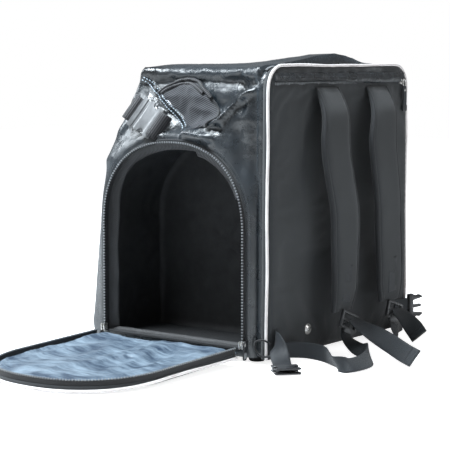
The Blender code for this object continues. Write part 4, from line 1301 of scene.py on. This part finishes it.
def build_door_zip(prefix, sign):
    """The zip tape and teeth round a door, and the cloth wall outside them."""
    body = prefix + "_door"
    across = door_turn(sign) @ Vector((1, 0, 0))
    start = RIM_START_Z if sign > 0 else DOOR_START_Z + 0.006
    line = even([Vector((0, y, z)) for y, z in arch_outline(0.0009, start)], TOOTH_PITCH)
    frames = frames_with_normal([swing(sign, DOOR_TAPE_X, p.y, p.z) for p in line], across)
    tape = sweep(body + "_tape", frames, strap_profile(0.0088, 0.0013), TAPE, body, "zip_black")
    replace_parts(tape, prefix + "_door_zip_rim")
    frames = frames_with_normal([swing(sign, DOOR_TEETH_X, p.y, p.z) for p in line], across)
    teeth(body + "_teeth", frames, 0.0021, 0.0022, body)
    path = [swing(sign, DOOR_WALL_X + 0.3 * 0.0014 * wobble((p.y, p.z, sign), 12.0, 6.0), p.y, p.z)
            for p in line]
    wall = [(-0.0044, -0.0010), (-0.0042, 0.0010), (-0.001, 0.0019), (0.003, 0.0014), (0.0040, 0.0004),
            (0.0036, -0.0014), (-0.001, -0.0016)]
    sweep(body + "_side_wall", frames_with_normal(path, across), wall, PANEL, body, "shell_fabric")


def build_door_piping(prefix, sign):
    """The white piping round a door, sagging a little on the open one, and a row of stitches."""
    body = prefix + "_door"
    turn = door_turn(sign)
    slack = 0.0020 if sign < 0 else 0.0
    path = []
    for p in even([Vector((0, y, z)) for y, z in arch_outline(-0.0022, DOOR_START_Z + 0.006)], 0.005):
        sag = slack * (1 + wobble((p.y, p.z, 0), 10.0, 2.0)) * math.sin(math.pi * min(p.z / 0.33, 1.0))
        sway = 0.0008 * wobble((p.y, p.z, 1), 20.0, 1.0)
        path.append(swing(sign, DOOR_OUTER_X - 0.0019 - sag, p.y + sway, p.z))
    cord = sweep(body + "_piping_cord", frames_with_normal(path, turn @ Vector((1, 0, 0))),
                 ring(PIPING_R, 8), CORD, body, "piping_white")
    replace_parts(cord, prefix + "_door_piping")
    line = [swing(sign, DOOR_FACE_X + 0.0011, y, z) for y, z in arch_outline(0.006, DOOR_START_Z + 0.008)]
    stitches(body + "_edge_stitches", line, turn @ Vector((sign, 0, 0)), DARK_THREAD, body,
             slot="shell_fabric")


def build_door_slider(prefix, end_name, side):
    """A silver slider straddling the chain, with its bridge, and its hanging pull."""
    node = "%s_slider_%s" % (prefix, end_name)
    centre = centre_of(node)
    outline = [(-0.0044, 0.0058), (0.0044, 0.0058), (0.0050, 0.0030), (0.0042, -0.0058),
               (-0.0042, -0.0058), (-0.0050, 0.0030)]
    for k, c in enumerate((-0.0027, 0.0027)):
        face = plate("%s_face_%d" % (node, k), outline, 0.0018,
                     lambda a, b, d, c=c: centre + Vector((a, side * (c + d), b)), SILVER, node,
                     "silver_metal", 0.0004)
    plate(node + "_neck", rounded(0.0011, 0.0060, 0.0004, 2), 0.0044,
          lambda a, b, c: centre + Vector((a, c, b + 0.001)), SILVER, node, "silver_metal", 0.0)
    bridge = [centre + Vector((0, side * c, b)) for b, c in
              ((0.0050, 0.0034), (0.0030, 0.0056), (-0.0020, 0.0056), (-0.0046, 0.0034))]
    sweep(node + "_bridge", frames_with_normal(curve(bridge, 4), (1, 0, 0)),
          [(a * 1.5, b) for a, b in ring(0.0009, 8)], SILVER, node, "silver_metal")
    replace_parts(face, node)

    node = "%s_pull_%s" % (prefix, end_name)
    low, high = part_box(node)
    middle = (low + high) / 2
    half = (high.z - low.z) / 2

    def hang(a, b, c):
        return middle + Vector((a, side * c, b))

    outline = [(-0.0030, half - 0.0012), (-0.0018, half), (0.0018, half), (0.0030, half - 0.0012),
               (0.0024, 0.004), (0.0038, 0.001), (0.0042, -half + 0.0026), (0.0026, -half),
               (-0.0026, -half), (-0.0042, -half + 0.0026), (-0.0038, 0.001), (-0.0024, 0.004)]
    pull = plate(node + "_tab", outline, high.y - low.y + 0.0004, hang, BUCKLE, node, "buckle_plastic",
                 0.0004)
    # the grip wears the teeth plastic, whose pale grey is a painted highlight
    plate(node + "_grip", rounded(0.0058, 0.0090, 0.0020, 3), high.y - low.y + 0.0016,
          lambda a, b, c: hang(a, b - 0.0066, c), TEETH, node, "buckle_plastic", 0.0004)
    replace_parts(pull, node)


# ---------------------------------------------------------------- shoulder straps

# (y, z, thickness) down a shoulder strap
PAD_ROUTE = ((-0.1822, 0.4170, 0.004), (-0.194, 0.397, 0.007), (-0.205, 0.375, 0.009), (-0.212, 0.345, 0.009),
             (-0.216, 0.300, 0.009), (-0.217, 0.240, 0.009), (-0.217, 0.180, 0.009), (-0.216, 0.125, 0.009),
             (-0.215, 0.088, 0.008), (-0.214, 0.070, 0.005))
# (z, middle x, width) of each strap
LEFT_PAD = ((0.4185, -0.054, 0.062), (0.324, -0.076, 0.070), (0.207, -0.052, 0.071), (0.105, -0.051, 0.062),
            (0.070, -0.056, 0.052))
RIGHT_PAD = ((0.4185, 0.092, 0.062), (0.324, 0.062, 0.072), (0.207, 0.076, 0.071), (0.105, 0.084, 0.070),
             (0.070, 0.086, 0.058))
PAD_SIDES = 30
PATCH_LOW_Z = 0.084
PATCH_HIGH_Z = 0.144
BOX_STITCH_Z = 0.125


def read_rows(rows, z, column):
    """A smooth reading of a column of (z, ...) rows that run downwards."""
    for above, below in zip(rows, rows[1:]):
        if z >= below[0]:
            t = min(max((above[0] - z) / (above[0] - below[0]), 0.0), 1.0)
            return above[column] + (below[column] - above[column]) * t * t * (3 - 2 * t)
    return rows[-1][column]


def pad_sections(rows):
    """The strap's sections down its route: middle, outward direction, width, thickness and run."""
    route = curve(PAD_ROUTE, 9)
    sections = []
    for n, (y, z, thick) in enumerate(route):
        ahead = route[min(n + 1, len(route) - 1)]
        behind = route[max(n - 1, 0)]
        run = Vector((0, ahead[0] - behind[0], ahead[1] - behind[1])).normalized()
        out = Vector((1, 0, 0)).cross(run)
        if out.y > 0:
            out = -out
        middle = Vector((read_rows(rows, z, 1), y, z))
        sections.append((middle, out, read_rows(rows, z, 2), thick * 1.05, run))
    return sections


def pad_ring(section, seed):
    """The padded outline of one section, PAD_SIDES points round."""
    middle, out, width, thick, _ = section
    row = []
    for k in range(PAD_SIDES):
        angle = 2 * math.pi * k / PAD_SIDES
        c = math.cos(angle)
        s = math.sin(angle)
        a = math.copysign(abs(c) ** 0.45, c) * (width / 2 - 0.001)
        b = math.copysign(abs(s) ** 0.8, s) * thick / 2
        edge = abs(a) / (width / 2)
        if s > 0:
            b += 0.0010 * wobble((a, middle.z, 0.3), 26.0, seed) * (1 - edge ** 4)
        row.append(middle + Vector((1, 0, 0)) * a + out * b)
    return row


def build_pad(prefix, rows):
    """A padded shoulder strap with bound and stitched edges."""
    body = prefix + "_strap"
    sections = pad_sections(rows)
    verts = [p for section in sections for p in pad_ring(section, len(prefix))]
    faces = grid_faces(len(sections), PAD_SIDES, True)
    faces.append(tuple(range(PAD_SIDES))[::-1])
    last = (len(sections) - 1) * PAD_SIDES
    faces.append(tuple(last + k for k in range(PAD_SIDES)))
    pad = piece(body + "_pad", verts, faces, PANEL, body, [(p.x, p.z) for p in verts], "back_fabric")
    ends = [*range(PAD_SIDES), *range(last, last + PAD_SIDES)]
    soften(pad, ends, shrink=-0.010, pressure=2.0, bend=1.5, tension=20.0, cap=0.0018)
    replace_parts(pad, prefix + "_shoulder_pad")

    outs = [section[1] for section in sections]
    for edge, tag in ((-1, "near"), (1, "far")):
        path = [m + Vector((edge * (w / 2 - 0.0016), 0, 0)) for m, _, w, _, _ in sections]
        scaled = [[(a * min(1.0, section[3] / 0.009) * 0.98, b) for a, b in ring(0.0048, 12, 0.0034 / 0.0048)]
                  for section in sections]
        sweep("%s_binding_%s" % (body, tag), frames_with_normal(path, outs), lambda n, s=scaled: s[n],
              BINDING, body, "back_fabric")
        line = [m + Vector((edge * (w / 2 - 0.0078), 0, 0)) + o * (t / 2 + 0.0004)
                for m, o, w, t, _ in sections[4:-3]]
        stitches("%s_pad_stitches_%s" % (body, tag), line, outs[4:-3] * 4, DARK_THREAD, body,
                 slot="back_fabric")
    build_patch(body, sections)


def build_patch(body, sections):
    """The webbing patch low on a pad with its crossed box of stitches, and a row at the pad's top."""
    patch = [section for section in sections if PATCH_LOW_Z < section[0].z < PATCH_HIGH_Z]
    path = [m + o * (t / 2 + 0.0009) for m, o, _, t, _ in patch]
    sweep(body + "_patch_webbing", frames_with_normal(path, (1, 0, 0)), strap_profile(0.025, 0.0016),
          WEB, body, "webbing_black")
    m, o, _, t, run = min(patch, key=lambda section: abs(section[0].z - BOX_STITCH_Z))
    corners = [(-0.0105, -0.008), (0.0105, -0.008), (0.0105, 0.008), (-0.0105, 0.008), (-0.0105, -0.008),
               (0.0105, 0.008)]
    line = [m + o * (t / 2 + 0.0018) + Vector((a, 0, 0)) + run * b for a, b in corners]
    stitches(body + "_box_stitches", line, o, DARK_THREAD, body, 0.0030, 0.0022, slot="webbing_black")
    m, o, _, t, _ = sections[3]
    line = [m + o * (t / 2 + 0.0006) + Vector((a, 0, 0)) for a in (-0.026, 0.0, 0.026)]
    stitches(body + "_top_stitches", line, o, DARK_THREAD, body, slot="back_fabric")


def build_lock(prefix, roll):
    """A ladder lock: a frame with two slots, a raised bar and a lift tab."""
    node = prefix + "_ladder_lock"
    body = prefix + "_lock"
    centre = centre_of(node)
    turn = Matrix.Rotation(roll, 3, "Y")
    width, height, rail = 0.046, 0.028, 0.0042
    parts = []

    def place(shift):
        return lambda a, b, c: centre + turn @ Vector((a, -c, b)) + turn @ Vector(shift)

    for k, a in enumerate((-1, 1)):
        parts.append(plate("%s_side_%d" % (body, k), rounded(rail, height, 0.0014, 3), 0.0048,
                           place((a * (width - rail) / 2, 0, 0)), BUCKLE, body, "buckle_plastic", 0.0007))
    bars = ((0.0120, 0.0040, 0.0050), (0.0, 0.0046, 0.0042), (-0.0120, 0.0042, 0.0066))
    for k, (b, tall, thick) in enumerate(bars):
        parts.append(plate("%s_bar_%d" % (body, k), rounded(width - rail, tall, 0.0014, 3), thick,
                           place((0, -0.0006 if k == 2 else 0, b)), BUCKLE, body, "buckle_plastic", 0.0008))
    parts.append(plate(body + "_lift_tab", rounded(0.028, 0.010, 0.003, 4), 0.0022,
                       place((0, -0.0036, -0.0150)), BUCKLE, body, "buckle_plastic", 0.0006))
    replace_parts(parts[0], node)


# ---------------------------------------------------------------- webbing

def webbing(name, route, width, side, thick=0.0018):
    """Frames of flat webbing along a smooth route; side says which way its width lies."""
    sides = side if isinstance(side, list) else [side] * len(route)
    return name, frames_with_normal(curve(route, 9), curve(sides, 9)), strap_profile(width, thick, 0.0001)


def lay(spec, mat, body, node=None):
    """Make a webbing from its frames, riding on a body or, with None, on no body."""
    name, frames, shape = spec
    obj = sweep(name, frames, shape, mat, body, "webbing_black")
    if node:
        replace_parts(obj, node)
    return obj


def build_webbing():
    """The slack lower webbings between the bag and each strap, on no body, and the free tails."""
    up = (0, 0, 1)
    left = webbing("left_lower_strap",
                   [(-0.178, -0.1825, 0.022), (-0.164, -0.190, 0.0215), (-0.146, -0.210, 0.020),
                    (-0.140, -0.236, 0.0165), (-0.156, -0.262, 0.0135), (-0.172, -0.282, 0.0115),
                    (-0.164, -0.300, 0.0110), (-0.128, -0.302, 0.0112), (-0.092, -0.288, 0.0125),
                    (-0.064, -0.264, 0.0130), (-0.050, -0.238, 0.0130), (-0.046, -0.2150, 0.028),
                    (-0.046, -0.2170, 0.050)],
                   0.025, [up, up, up, up, (-0.2, 0.3, 0.8), (0, 0.6, 0.75), (0, 0.7, 0.7), (0, 0.7, 0.7),
                           (0, 0.4, 0.8), (0.3, 0.1, 0.8), (0.8, -0.2, 0.5), (1, 0, 0), (1, 0, 0)])
    obj = lay(left, WEB, None, "left_lower_webbing")
    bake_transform(obj)
    right = webbing("right_lower_strap",
                    [(0.182, -0.1825, 0.0145), (0.158, -0.1895, 0.0145), (0.132, -0.204, 0.0150),
                     (0.114, -0.214, 0.0160), (0.100, -0.2165, 0.027), (0.088, -0.2175, 0.050)],
                    0.025, [up, up, up, (0.2, 0, 1), (0.54, 0, 0.84), (0.79, 0, 0.61)])
    obj = lay(right, WEB, None, "right_lower_webbing")
    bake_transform(obj)
    tail = webbing("left_tail",
                   [(-0.0460, -0.2285, 0.056), (-0.044, -0.247, 0.046), (-0.045, -0.272, 0.036),
                    (-0.052, -0.302, 0.026), (-0.066, -0.334, 0.018), (-0.080, -0.360, 0.0146)],
                   0.030, [(1, 0, 0), (1, -0.1, 0.3), (0.7, -0.3, 0.6), (0.5, -0.4, 0.75),
                           (0.44, -0.444, 0.776), (0.44, -0.444, 0.776)])
    lay(tail, WEB, "left_lock", "left_strap_tail")
    lay(hem("left_tail_hem", tail), WEB, "left_lock")
    tail = webbing("right_tail",
                   [(0.088, -0.2275, 0.056), (0.087, -0.240, 0.047), (0.084, -0.254, 0.037),
                    (0.078, -0.268, 0.027), (0.070, -0.281, 0.0185)],
                   0.030, [(1, 0, 0), (1, -0.1, 0.3), (0.8, -0.2, 0.5), (0.6, -0.35, 0.7), (0.5, -0.4, 0.75)])
    lay(tail, WEB, "right_lock", "right_strap_tail")
    lay(hem("right_tail_hem", tail), WEB, "right_lock")


def hem(name, spec):
    """The folded end of a tail, lying on its upper face."""
    lift = [(centre + (v if v.z > 0 else -v) * 0.0017, u, v, t) for centre, u, v, t in spec[1][-7:]]
    return name, lift, strap_profile(0.0296, 0.0016)


def build_left_waist():
    """The waist webbing sewn low at the -X edge, its socket flat on the floor, and a keeper loop."""
    centre = Vector((-0.2316, -0.2306, 0.0064))
    turn = Matrix.Rotation(math.radians(-43), 3, "Z") @ Matrix.Rotation(math.radians(-90), 3, "Y")
    flat = tuple(turn @ Vector((0, 0, -1)))
    mouth = centre + turn @ Vector((0, 0.0180, 0.0006))
    route = [(-0.184, BACK_Y - 0.0045, 0.040), (-0.1900, -0.1820, 0.0396), (-0.1975, -0.1905, 0.034),
             (-0.2060, -0.2010, 0.020), (-0.2125, -0.2090, 0.011), tuple(mouth)]
    sides = [(0, 0, 1), (0, -0.1, 1), (0.3, -0.28, 0.9), (0.62, -0.58, 0.4), flat, flat]
    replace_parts(socket("left_waist", centre, turn, (0.0095, 0.034, 0.040), -1, BUCKLE, "left_waist"),
                "left_waist_buckle")
    lay(webbing("left_waist_strap", route, 0.029, sides), WEB, "left_waist", "left_waist_webbing")
    keeper = [(-0.1985, -0.1785, 0.034), (-0.2060, -0.1700, 0.040), (-0.2105, -0.1600, 0.037),
              (-0.2110, -0.1590, 0.027), (-0.2080, -0.1660, 0.0165), (-0.2035, -0.1770, 0.0150),
              (-0.1990, -0.1835, 0.0200)]
    lay(webbing("corner_keeper", keeper, 0.0065, (0.75, 0.66, 0), 0.0024), TAPE, "bag")


def build_right_waist():
    """The waist webbing sewn low at the +X edge and the buckle's plug past the edge."""
    x, y, z = 0.160, BACK_Y - 0.0045, 0.0435
    turn = Matrix.Rotation(math.radians(80), 3, "Z")
    centre = Vector((0.1965, -0.1895, 0.0425))
    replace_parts(plug("right_waist", centre, turn, (0.0048, 0.012, 0.044), -1, BUCKLE, "right_waist"),
                "right_waist_buckle")
    route = [(x, y, z), (x + 0.016, y - 0.0050, z), (x + 0.0285, y - 0.0086, z)]
    lay(webbing("right_waist_strap", route, 0.029, (0, 0, 1)), WEB, "right_waist", "right_waist_webbing")


def socket(name, centre, turn, size, mouth, mat, body):
    """The socket of a side-release buckle: two waisted plates, side walls and a webbing bar."""
    thick, along, wide = size

    def at(a, b, c):
        return centre + turn @ Vector((c, mouth * b, a))

    half = wide / 2
    bite = along * 0.20
    right_side = [(half * 0.90, along / 2), (half, along * 0.42), (half, bite * 1.25)]
    for k in range(9):
        angle = math.pi * k / 8
        right_side.append((half - bite * 1.15 * math.sin(angle), bite * math.cos(angle)))
    right_side += [(half, -bite * 1.25), (half, -along * 0.44), (half * 0.94, -along / 2)]
    outline = right_side + [(-a, b) for a, b in reversed(right_side)]
    kind = (mat, body, "buckle_plastic")
    shell = plate(name + "_socket_upper", outline, thick * 0.26,
                  lambda a, b, c: at(a, b, c - thick * 0.36), *kind, 0.0008)
    plate(name + "_socket_lower", outline, thick * 0.26,
          lambda a, b, c: at(a, b, c + thick * 0.36), *kind, 0.0008)
    for k, s in enumerate((-1, 1)):
        plate("%s_socket_wall_%d" % (name, k), rounded(0.0026, along * 0.42, 0.0010, 2), thick * 0.9,
              lambda a, b, c, s=s: at(s * half * 0.90 + a, b - along * 0.27, c), *kind, 0.0004)
    plate(name + "_socket_bar", rounded(wide * 0.92, 0.0050, 0.0018, 3), thick * 0.85,
          lambda a, b, c: at(a, b - along * 0.44, c), *kind, 0.0008)
    return shell


def plug(name, centre, turn, size, point, mat, body):
    """The plug of a side-release buckle: a shoulder bar, two sprung prongs and a guide."""
    thick, along, wide = size

    def at(a, b, c):
        return centre + turn @ Vector((c, point * b, a))

    half = wide / 2
    near = along / 2
    arm = [(half, near * 0.6), (half * 0.92, near), (half * 0.80, near + 0.008), (half * 0.86, near + 0.016),
           (half * 0.72, near + 0.023), (half * 0.60, near + 0.024), (half * 0.52, near + 0.010),
           (half * 0.46, near), (0.0028, near), (0.0022, near + 0.020)]
    outline = [(-half, -near), (half, -near)] + arm + [(-a, b) for a, b in reversed(arm)]
    body_plate = plate(name + "_plug_body", outline, thick, at, mat, body, "buckle_plastic", 0.0007)
    plate(name + "_plug_collar", rounded(wide * 0.98, along * 0.62, 0.0024, 3), thick * 1.7,
          lambda a, b, c: at(a, b - along * 0.12, c), mat, body, "buckle_plastic", 0.0009)
    return body_plate


# ---------------------------------------------------------------- shoulder details

def shoulder_point(y, z, lift):
    """A point on the -X shoulder, lifted off the cloth."""
    rise = shoulder_rise(y, z, -1)
    return Vector((-(side_x(y, z) + rise + lift), y, z))


SEAM_HIGH = (0.100, 0.428)
SEAM_LOW = (-0.006, 0.351)


def seam_line(shift_y, shift_z, lift):
    """The shoulder's double seam, shifted by (y, z) and lifted more where it runs onto the ribbed panel."""
    line = []
    for n in range(37):
        share = n / 36
        y = SEAM_HIGH[0] + (SEAM_LOW[0] - SEAM_HIGH[0]) * share + shift_y
        bow = 0.0035 * math.sin(math.pi * share)
        z = SEAM_HIGH[1] + (SEAM_LOW[1] - SEAM_HIGH[1]) * share + bow + shift_z
        line.append(shoulder_point(y, z, lift if share < 0.4 else lift + 0.0028))
    return line


def build_ribbed_panel():
    """The ribbed panel on the -X shoulder, two rolled arcs over its top and a double pale seam."""
    crest = ((0.064, 0.408), (0.040, 0.424), (0.014, 0.430), (-0.012, 0.425), (-0.042, 0.404),
             (-0.066, 0.376), (-0.068, 0.359))
    crest = curve([(a, b, 0.0) for a, b in crest], 7)
    foot = ((0.064, 0.408), (0.040, 0.388), (0.017, 0.369), SEAM_LOW, (-0.028, 0.3535), (-0.048, 0.357),
            (-0.068, 0.359))
    foot = curve([(a, b, 0.0) for a, b in foot], 7)
    rows = []
    for n in range(25):
        share = n / 24
        row = []
        for high, low in zip(crest, foot):
            spot = low.lerp(high, share)
            puff = 0.0035 * math.sin(math.pi * share) * min((high - low).length / 0.05, 1.0)
            row.append(shoulder_point(spot.x, spot.y, 0.0030 + puff))
        rows.append(row)
    ribs = Vector((-0.86, 0.50))
    verts = [p for row in rows for p in row]
    uv = [(p.y * -ribs.y + p.z * ribs.x, p.y * ribs.x + p.z * ribs.y) for p in verts]
    panel = piece("ribbed_panel_cloth", verts, grid_faces(len(rows), len(crest)), RIB, "bag", uv,
                  "ribbed_fabric")
    thicken(panel, 0.0014)
    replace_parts(panel, "ribbed_shoulder_panel")
    rolls = ((0, 30, 0.0042, 0.0), (3, 26, 0.0050, -0.0065))
    for k, (start, end, lift, rise) in enumerate(rolls):
        line = [shoulder_point(p.x, p.y + rise, lift) for p in crest[start:end]]
        sweep("ribbed_panel_roll_%d" % k, frames_with_normal(line, (1, 0, 0)), ring(0.0034, 10, 0.9), RIBWEB,
              "bag", "ribbed_fabric")
    edge = [shoulder_point(p.x, p.y, 0.0036) for p in crest[24:]]
    sweep("ribbed_panel_binding", frames_with_normal(even(edge, 0.005), (1, 0, 0)), ring(0.0019, 8, 0.75),
          BINDING, "bag", "ribbed_fabric")
    for k, shift in enumerate((0.0, 0.0058)):
        stitches("shoulder_seam_stitches_%d" % k, seam_line(-shift * 0.7, shift * 0.7, 0.0032), (-1, 0, 0),
                 THREAD, "bag", 0.0050, 0.0034, 0.0009, slot="ribbed_fabric")
    welt = seam_line(-0.002, 0.002, 0.0004)
    flat = [(a * 0.34, b) for a, b in ring(0.0058, 12)]
    sweep("shoulder_seam_welt", frames_with_normal(welt, (1, 0, 0)), flat, SHELL, "bag", "shell_fabric")


def build_top_buckle():
    """The compression strap over the -X shoulder and its large side-release buckle."""
    turn = Matrix.Rotation(math.radians(26), 3, "Y") @ Matrix.Rotation(math.radians(25), 3, "X")
    centre = Vector((-0.1978, 0.0640, 0.3700))
    along = turn @ Vector((0, 1, 0))
    up = turn @ Vector((0, 0, 1))
    out = turn @ Vector((-1, 0, 0))
    # the buckle's grey colour is a painted highlight on black plastic
    obj = socket("top_buckle", centre - along * 0.0095, turn, (0.0088, 0.036, 0.054), 1, BUCKLE_PAINTED_HIGHLIGHT, "bag")
    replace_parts(obj, "top_buckle_socket")
    obj = plug("top_buckle", centre + along * 0.0190, turn, (0.0044, 0.020, 0.054), -1, BUCKLE_PAINTED_HIGHLIGHT,
               "top_buckle")
    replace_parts(obj, "top_buckle_plug")
    for end, name, body, node in ((-1, "rear_compression", "bag", "top_strap_rear"),
                                  (1, "front_compression", "top_buckle", "top_strap_front")):
        route = []
        start = 0.0245 if end < 0 else 0.0285
        for s, rise in ((-0.0020, -0.0010), (-0.0010, 0.0042), (0.0050, 0.0066), (0.0115, 0.0050),
                        (0.0160, -0.0004), (0.0180, -0.0062)):
            route.append(centre + along * end * (start + s) + out * rise)
        spec = webbing(name + "_strap", route, 0.043, tuple(up), 0.0022)
        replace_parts(lay(spec, RIBWEB, body), node)
        inner = [p - out * 0.0026 for p in route[1:5]]
        lay(webbing(name + "_fold", inner, 0.042, tuple(up), 0.0020), RIBWEB, body)


def build_snap():
    """The silver snap low on the back panel: a domed cap with a slot and a washer."""
    centre = centre_of("back_snap")
    face = BACK_Y - back_face(centre.x, centre.z) - 0.0006
    steps = 28
    rows = []
    for radius, rise in ((0.0088, -0.0012), (0.0086, 0.0002), (0.0078, 0.0010), (0.0070, 0.0010),
                         (0.0066, 0.0016), (0.0050, 0.0026), (0.0026, 0.0031), (0.0004, 0.0032)):
        rows.append([Vector((centre.x + a, face - rise, centre.z + b)) for a, b in ring(radius, steps)])
    verts = [p for row in rows for p in row]
    faces = grid_faces(len(rows), steps, True)
    faces.append(tuple((len(rows) - 1) * steps + k for k in range(steps)))
    faces.append(tuple(range(steps))[::-1])
    cap = piece("snap_cap", verts, faces, SILVER, "bag", [(p.x, p.z) for p in verts], "silver_metal")
    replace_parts(cap, "back_snap")
    lean = math.radians(35)
    plate("snap_slot", rounded(0.0095, 0.0014, 0.0005, 2), 0.0012,
          lambda a, b, c: Vector((centre.x + a * math.cos(lean) - b * math.sin(lean), face - 0.0031 - c * 0.5,
                                  centre.z + a * math.sin(lean) + b * math.cos(lean))), BUCKLE, "bag",
          "silver_metal", 0.0)


def build_feet():
    """Four domed rubber feet."""
    for n in range(1, 5):
        low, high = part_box("foot_%d" % n)
        centre = (low + high) / 2
        rows = []
        for radius, z in ((0.0130, high.z), (0.0130, 0.0030), (0.0124, 0.0012), (0.0110, 0.0002),
                          (0.0098, 0.0)):
            rows.append([Vector((centre.x + a, centre.y + b, z)) for a, b in ring(radius, 32)])
        verts = [p for row in rows for p in row]
        faces = grid_faces(len(rows), 32, True)
        faces.append(tuple(range(32))[::-1])
        faces.append(tuple(4 * 32 + k for k in range(32)))
        foot = piece("rubber_foot_%d" % n, verts, faces, RUBBER, "bag", [(p.x, p.y) for p in verts],
                     "foot_rubber")
        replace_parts(foot, "foot_%d" % n)


def dress_cad():
    """The floor panel and its board stay as they are, in a finer material."""
    for node in ("base_panel", "base_board"):
        obj = frame["nodes"][node]
        obj.data.materials.clear()
        obj.data.materials.append(RUBBER)


# ---------------------------------------------------------------- stage and camera

LAMPS = (
    # name, place, aim, size in metres, power in watts, colour
    ("key", (-0.75, 0.35, 1.9), (-0.1, 0.0, 0.35), 0.7, 88.0, (0.86, 0.94, 1.0)),
    ("side", (-2.4, 0.9, 1.1), (-0.15, 0.0, 0.25), 1.0, 1.8, (0.90, 0.96, 1.0)),
    ("rim", (-0.4, 2.6, 1.6), (-0.15, 0.0, 0.38), 1.0, 40.0, (0.86, 0.94, 1.0)),
    ("fill", (0.4, -2.4, 1.2), (0.0, -0.1, 0.25), 1.4, 14.5, (0.96, 0.98, 1.0)),
)
FLOOR_SEEN = 0.84
FLOOR_LIT = 0.06
SKY_SEEN = 1.0
SKY_LIT = 0.24
CAMERA_PLACE = (-2.0653, -1.5094, 0.4569)
CAMERA_TILT_DEG = 83.964
CAMERA_TURN_DEG = -52.8
CAMERA_LENS = 123.2


def seen_and_lit(tree, seen, lit):
    """A white glow that looks brighter to the camera than the light it gives."""
    path = tree.nodes.new("ShaderNodeLightPath")
    level = tree.nodes.new("ShaderNodeMapRange")
    level.inputs[3].default_value = lit
    level.inputs[4].default_value = seen
    tree.links.new(path.outputs["Is Camera Ray"], level.inputs[0])
    return level.outputs[0]


def build_stage():
    """White floor and soft white light, with the camera that looks at the -X side and the back."""
    floor_mat = Nodes("studio_white", Roughness=0.9)
    tone = floor_mat.noise(floor_mat.place(), 0.5, 2.0, 0.5)
    floor_mat.link(floor_mat.ramp(tone, 0.0, 1.0, (0.80, 0.80, 0.80), (0.82, 0.82, 0.82)), "Base Color")
    floor_mat.shader.inputs["Emission Color"].default_value = (1.0, 1.0, 1.0, 1.0)
    floor_mat.link(seen_and_lit(floor_mat.tree, FLOOR_SEEN, FLOOR_LIT), "Emission Strength")
    mesh = bpy.data.meshes.new("floor")
    mesh.from_pydata([(-6, -6, 0), (6, -6, 0), (6, 6, 0), (-6, 6, 0)], [], [(0, 1, 2, 3)])
    mesh.materials.append(floor_mat.mat)
    floor = bpy.data.objects.new("floor", mesh)
    bpy.context.scene.collection.objects.link(floor)

    world = bpy.data.worlds.new("studio")
    bpy.context.scene.world = world
    world.use_nodes = True
    background = world.node_tree.nodes["Background"]
    background.inputs["Color"].default_value = (1.0, 1.0, 1.0, 1.0)
    glow = seen_and_lit(world.node_tree, SKY_SEEN, SKY_LIT)
    world.node_tree.links.new(glow, background.inputs["Strength"])

    for name, place, aim, size, power, colour in LAMPS:
        data = bpy.data.lights.new(name, "AREA")
        data.size = size
        data.energy = power
        data.color = colour
        light = bpy.data.objects.new(name, data)
        light.location = place
        light.rotation_euler = (Vector(aim) - Vector(place)).to_track_quat("-Z", "Y").to_euler()
        bpy.context.scene.collection.objects.link(light)

    data = bpy.data.cameras.new("camera")
    data.lens = CAMERA_LENS
    data.sensor_width = 36.0
    camera = bpy.data.objects.new("camera", data)
    camera.location = CAMERA_PLACE
    camera.rotation_euler = (math.radians(CAMERA_TILT_DEG), 0.0, math.radians(CAMERA_TURN_DEG))
    bpy.context.scene.collection.objects.link(camera)
    bpy.context.scene.camera = camera


# ---------------------------------------------------------------- the whole bag

bpy.context.scene.view_settings.view_transform = "Standard"
build_stage()
build_shell()
build_back()
build_main_zip()
build_pocket_zip()
for prefix, sign in (("left", -1), ("right", 1)):
    build_lining(prefix, sign)
    build_mouth_facing(prefix, sign)
    build_mouth_zip(prefix, sign)
    build_door_cloth(prefix, sign)
    build_door_lining(prefix, sign)
    build_door_zip(prefix, sign)
    build_door_piping(prefix, sign)
    build_door_slider(prefix, "near", -1)
    build_door_slider(prefix, "far", 1)
build_pad("left", LEFT_PAD)
build_pad("right", RIGHT_PAD)
build_lock("left", math.radians(22))
build_lock("right", math.radians(18))
build_webbing()
build_left_waist()
build_right_waist()
build_ribbed_panel()
build_top_buckle()
build_snap()
build_feet()
dress_cad()
run_cloth()
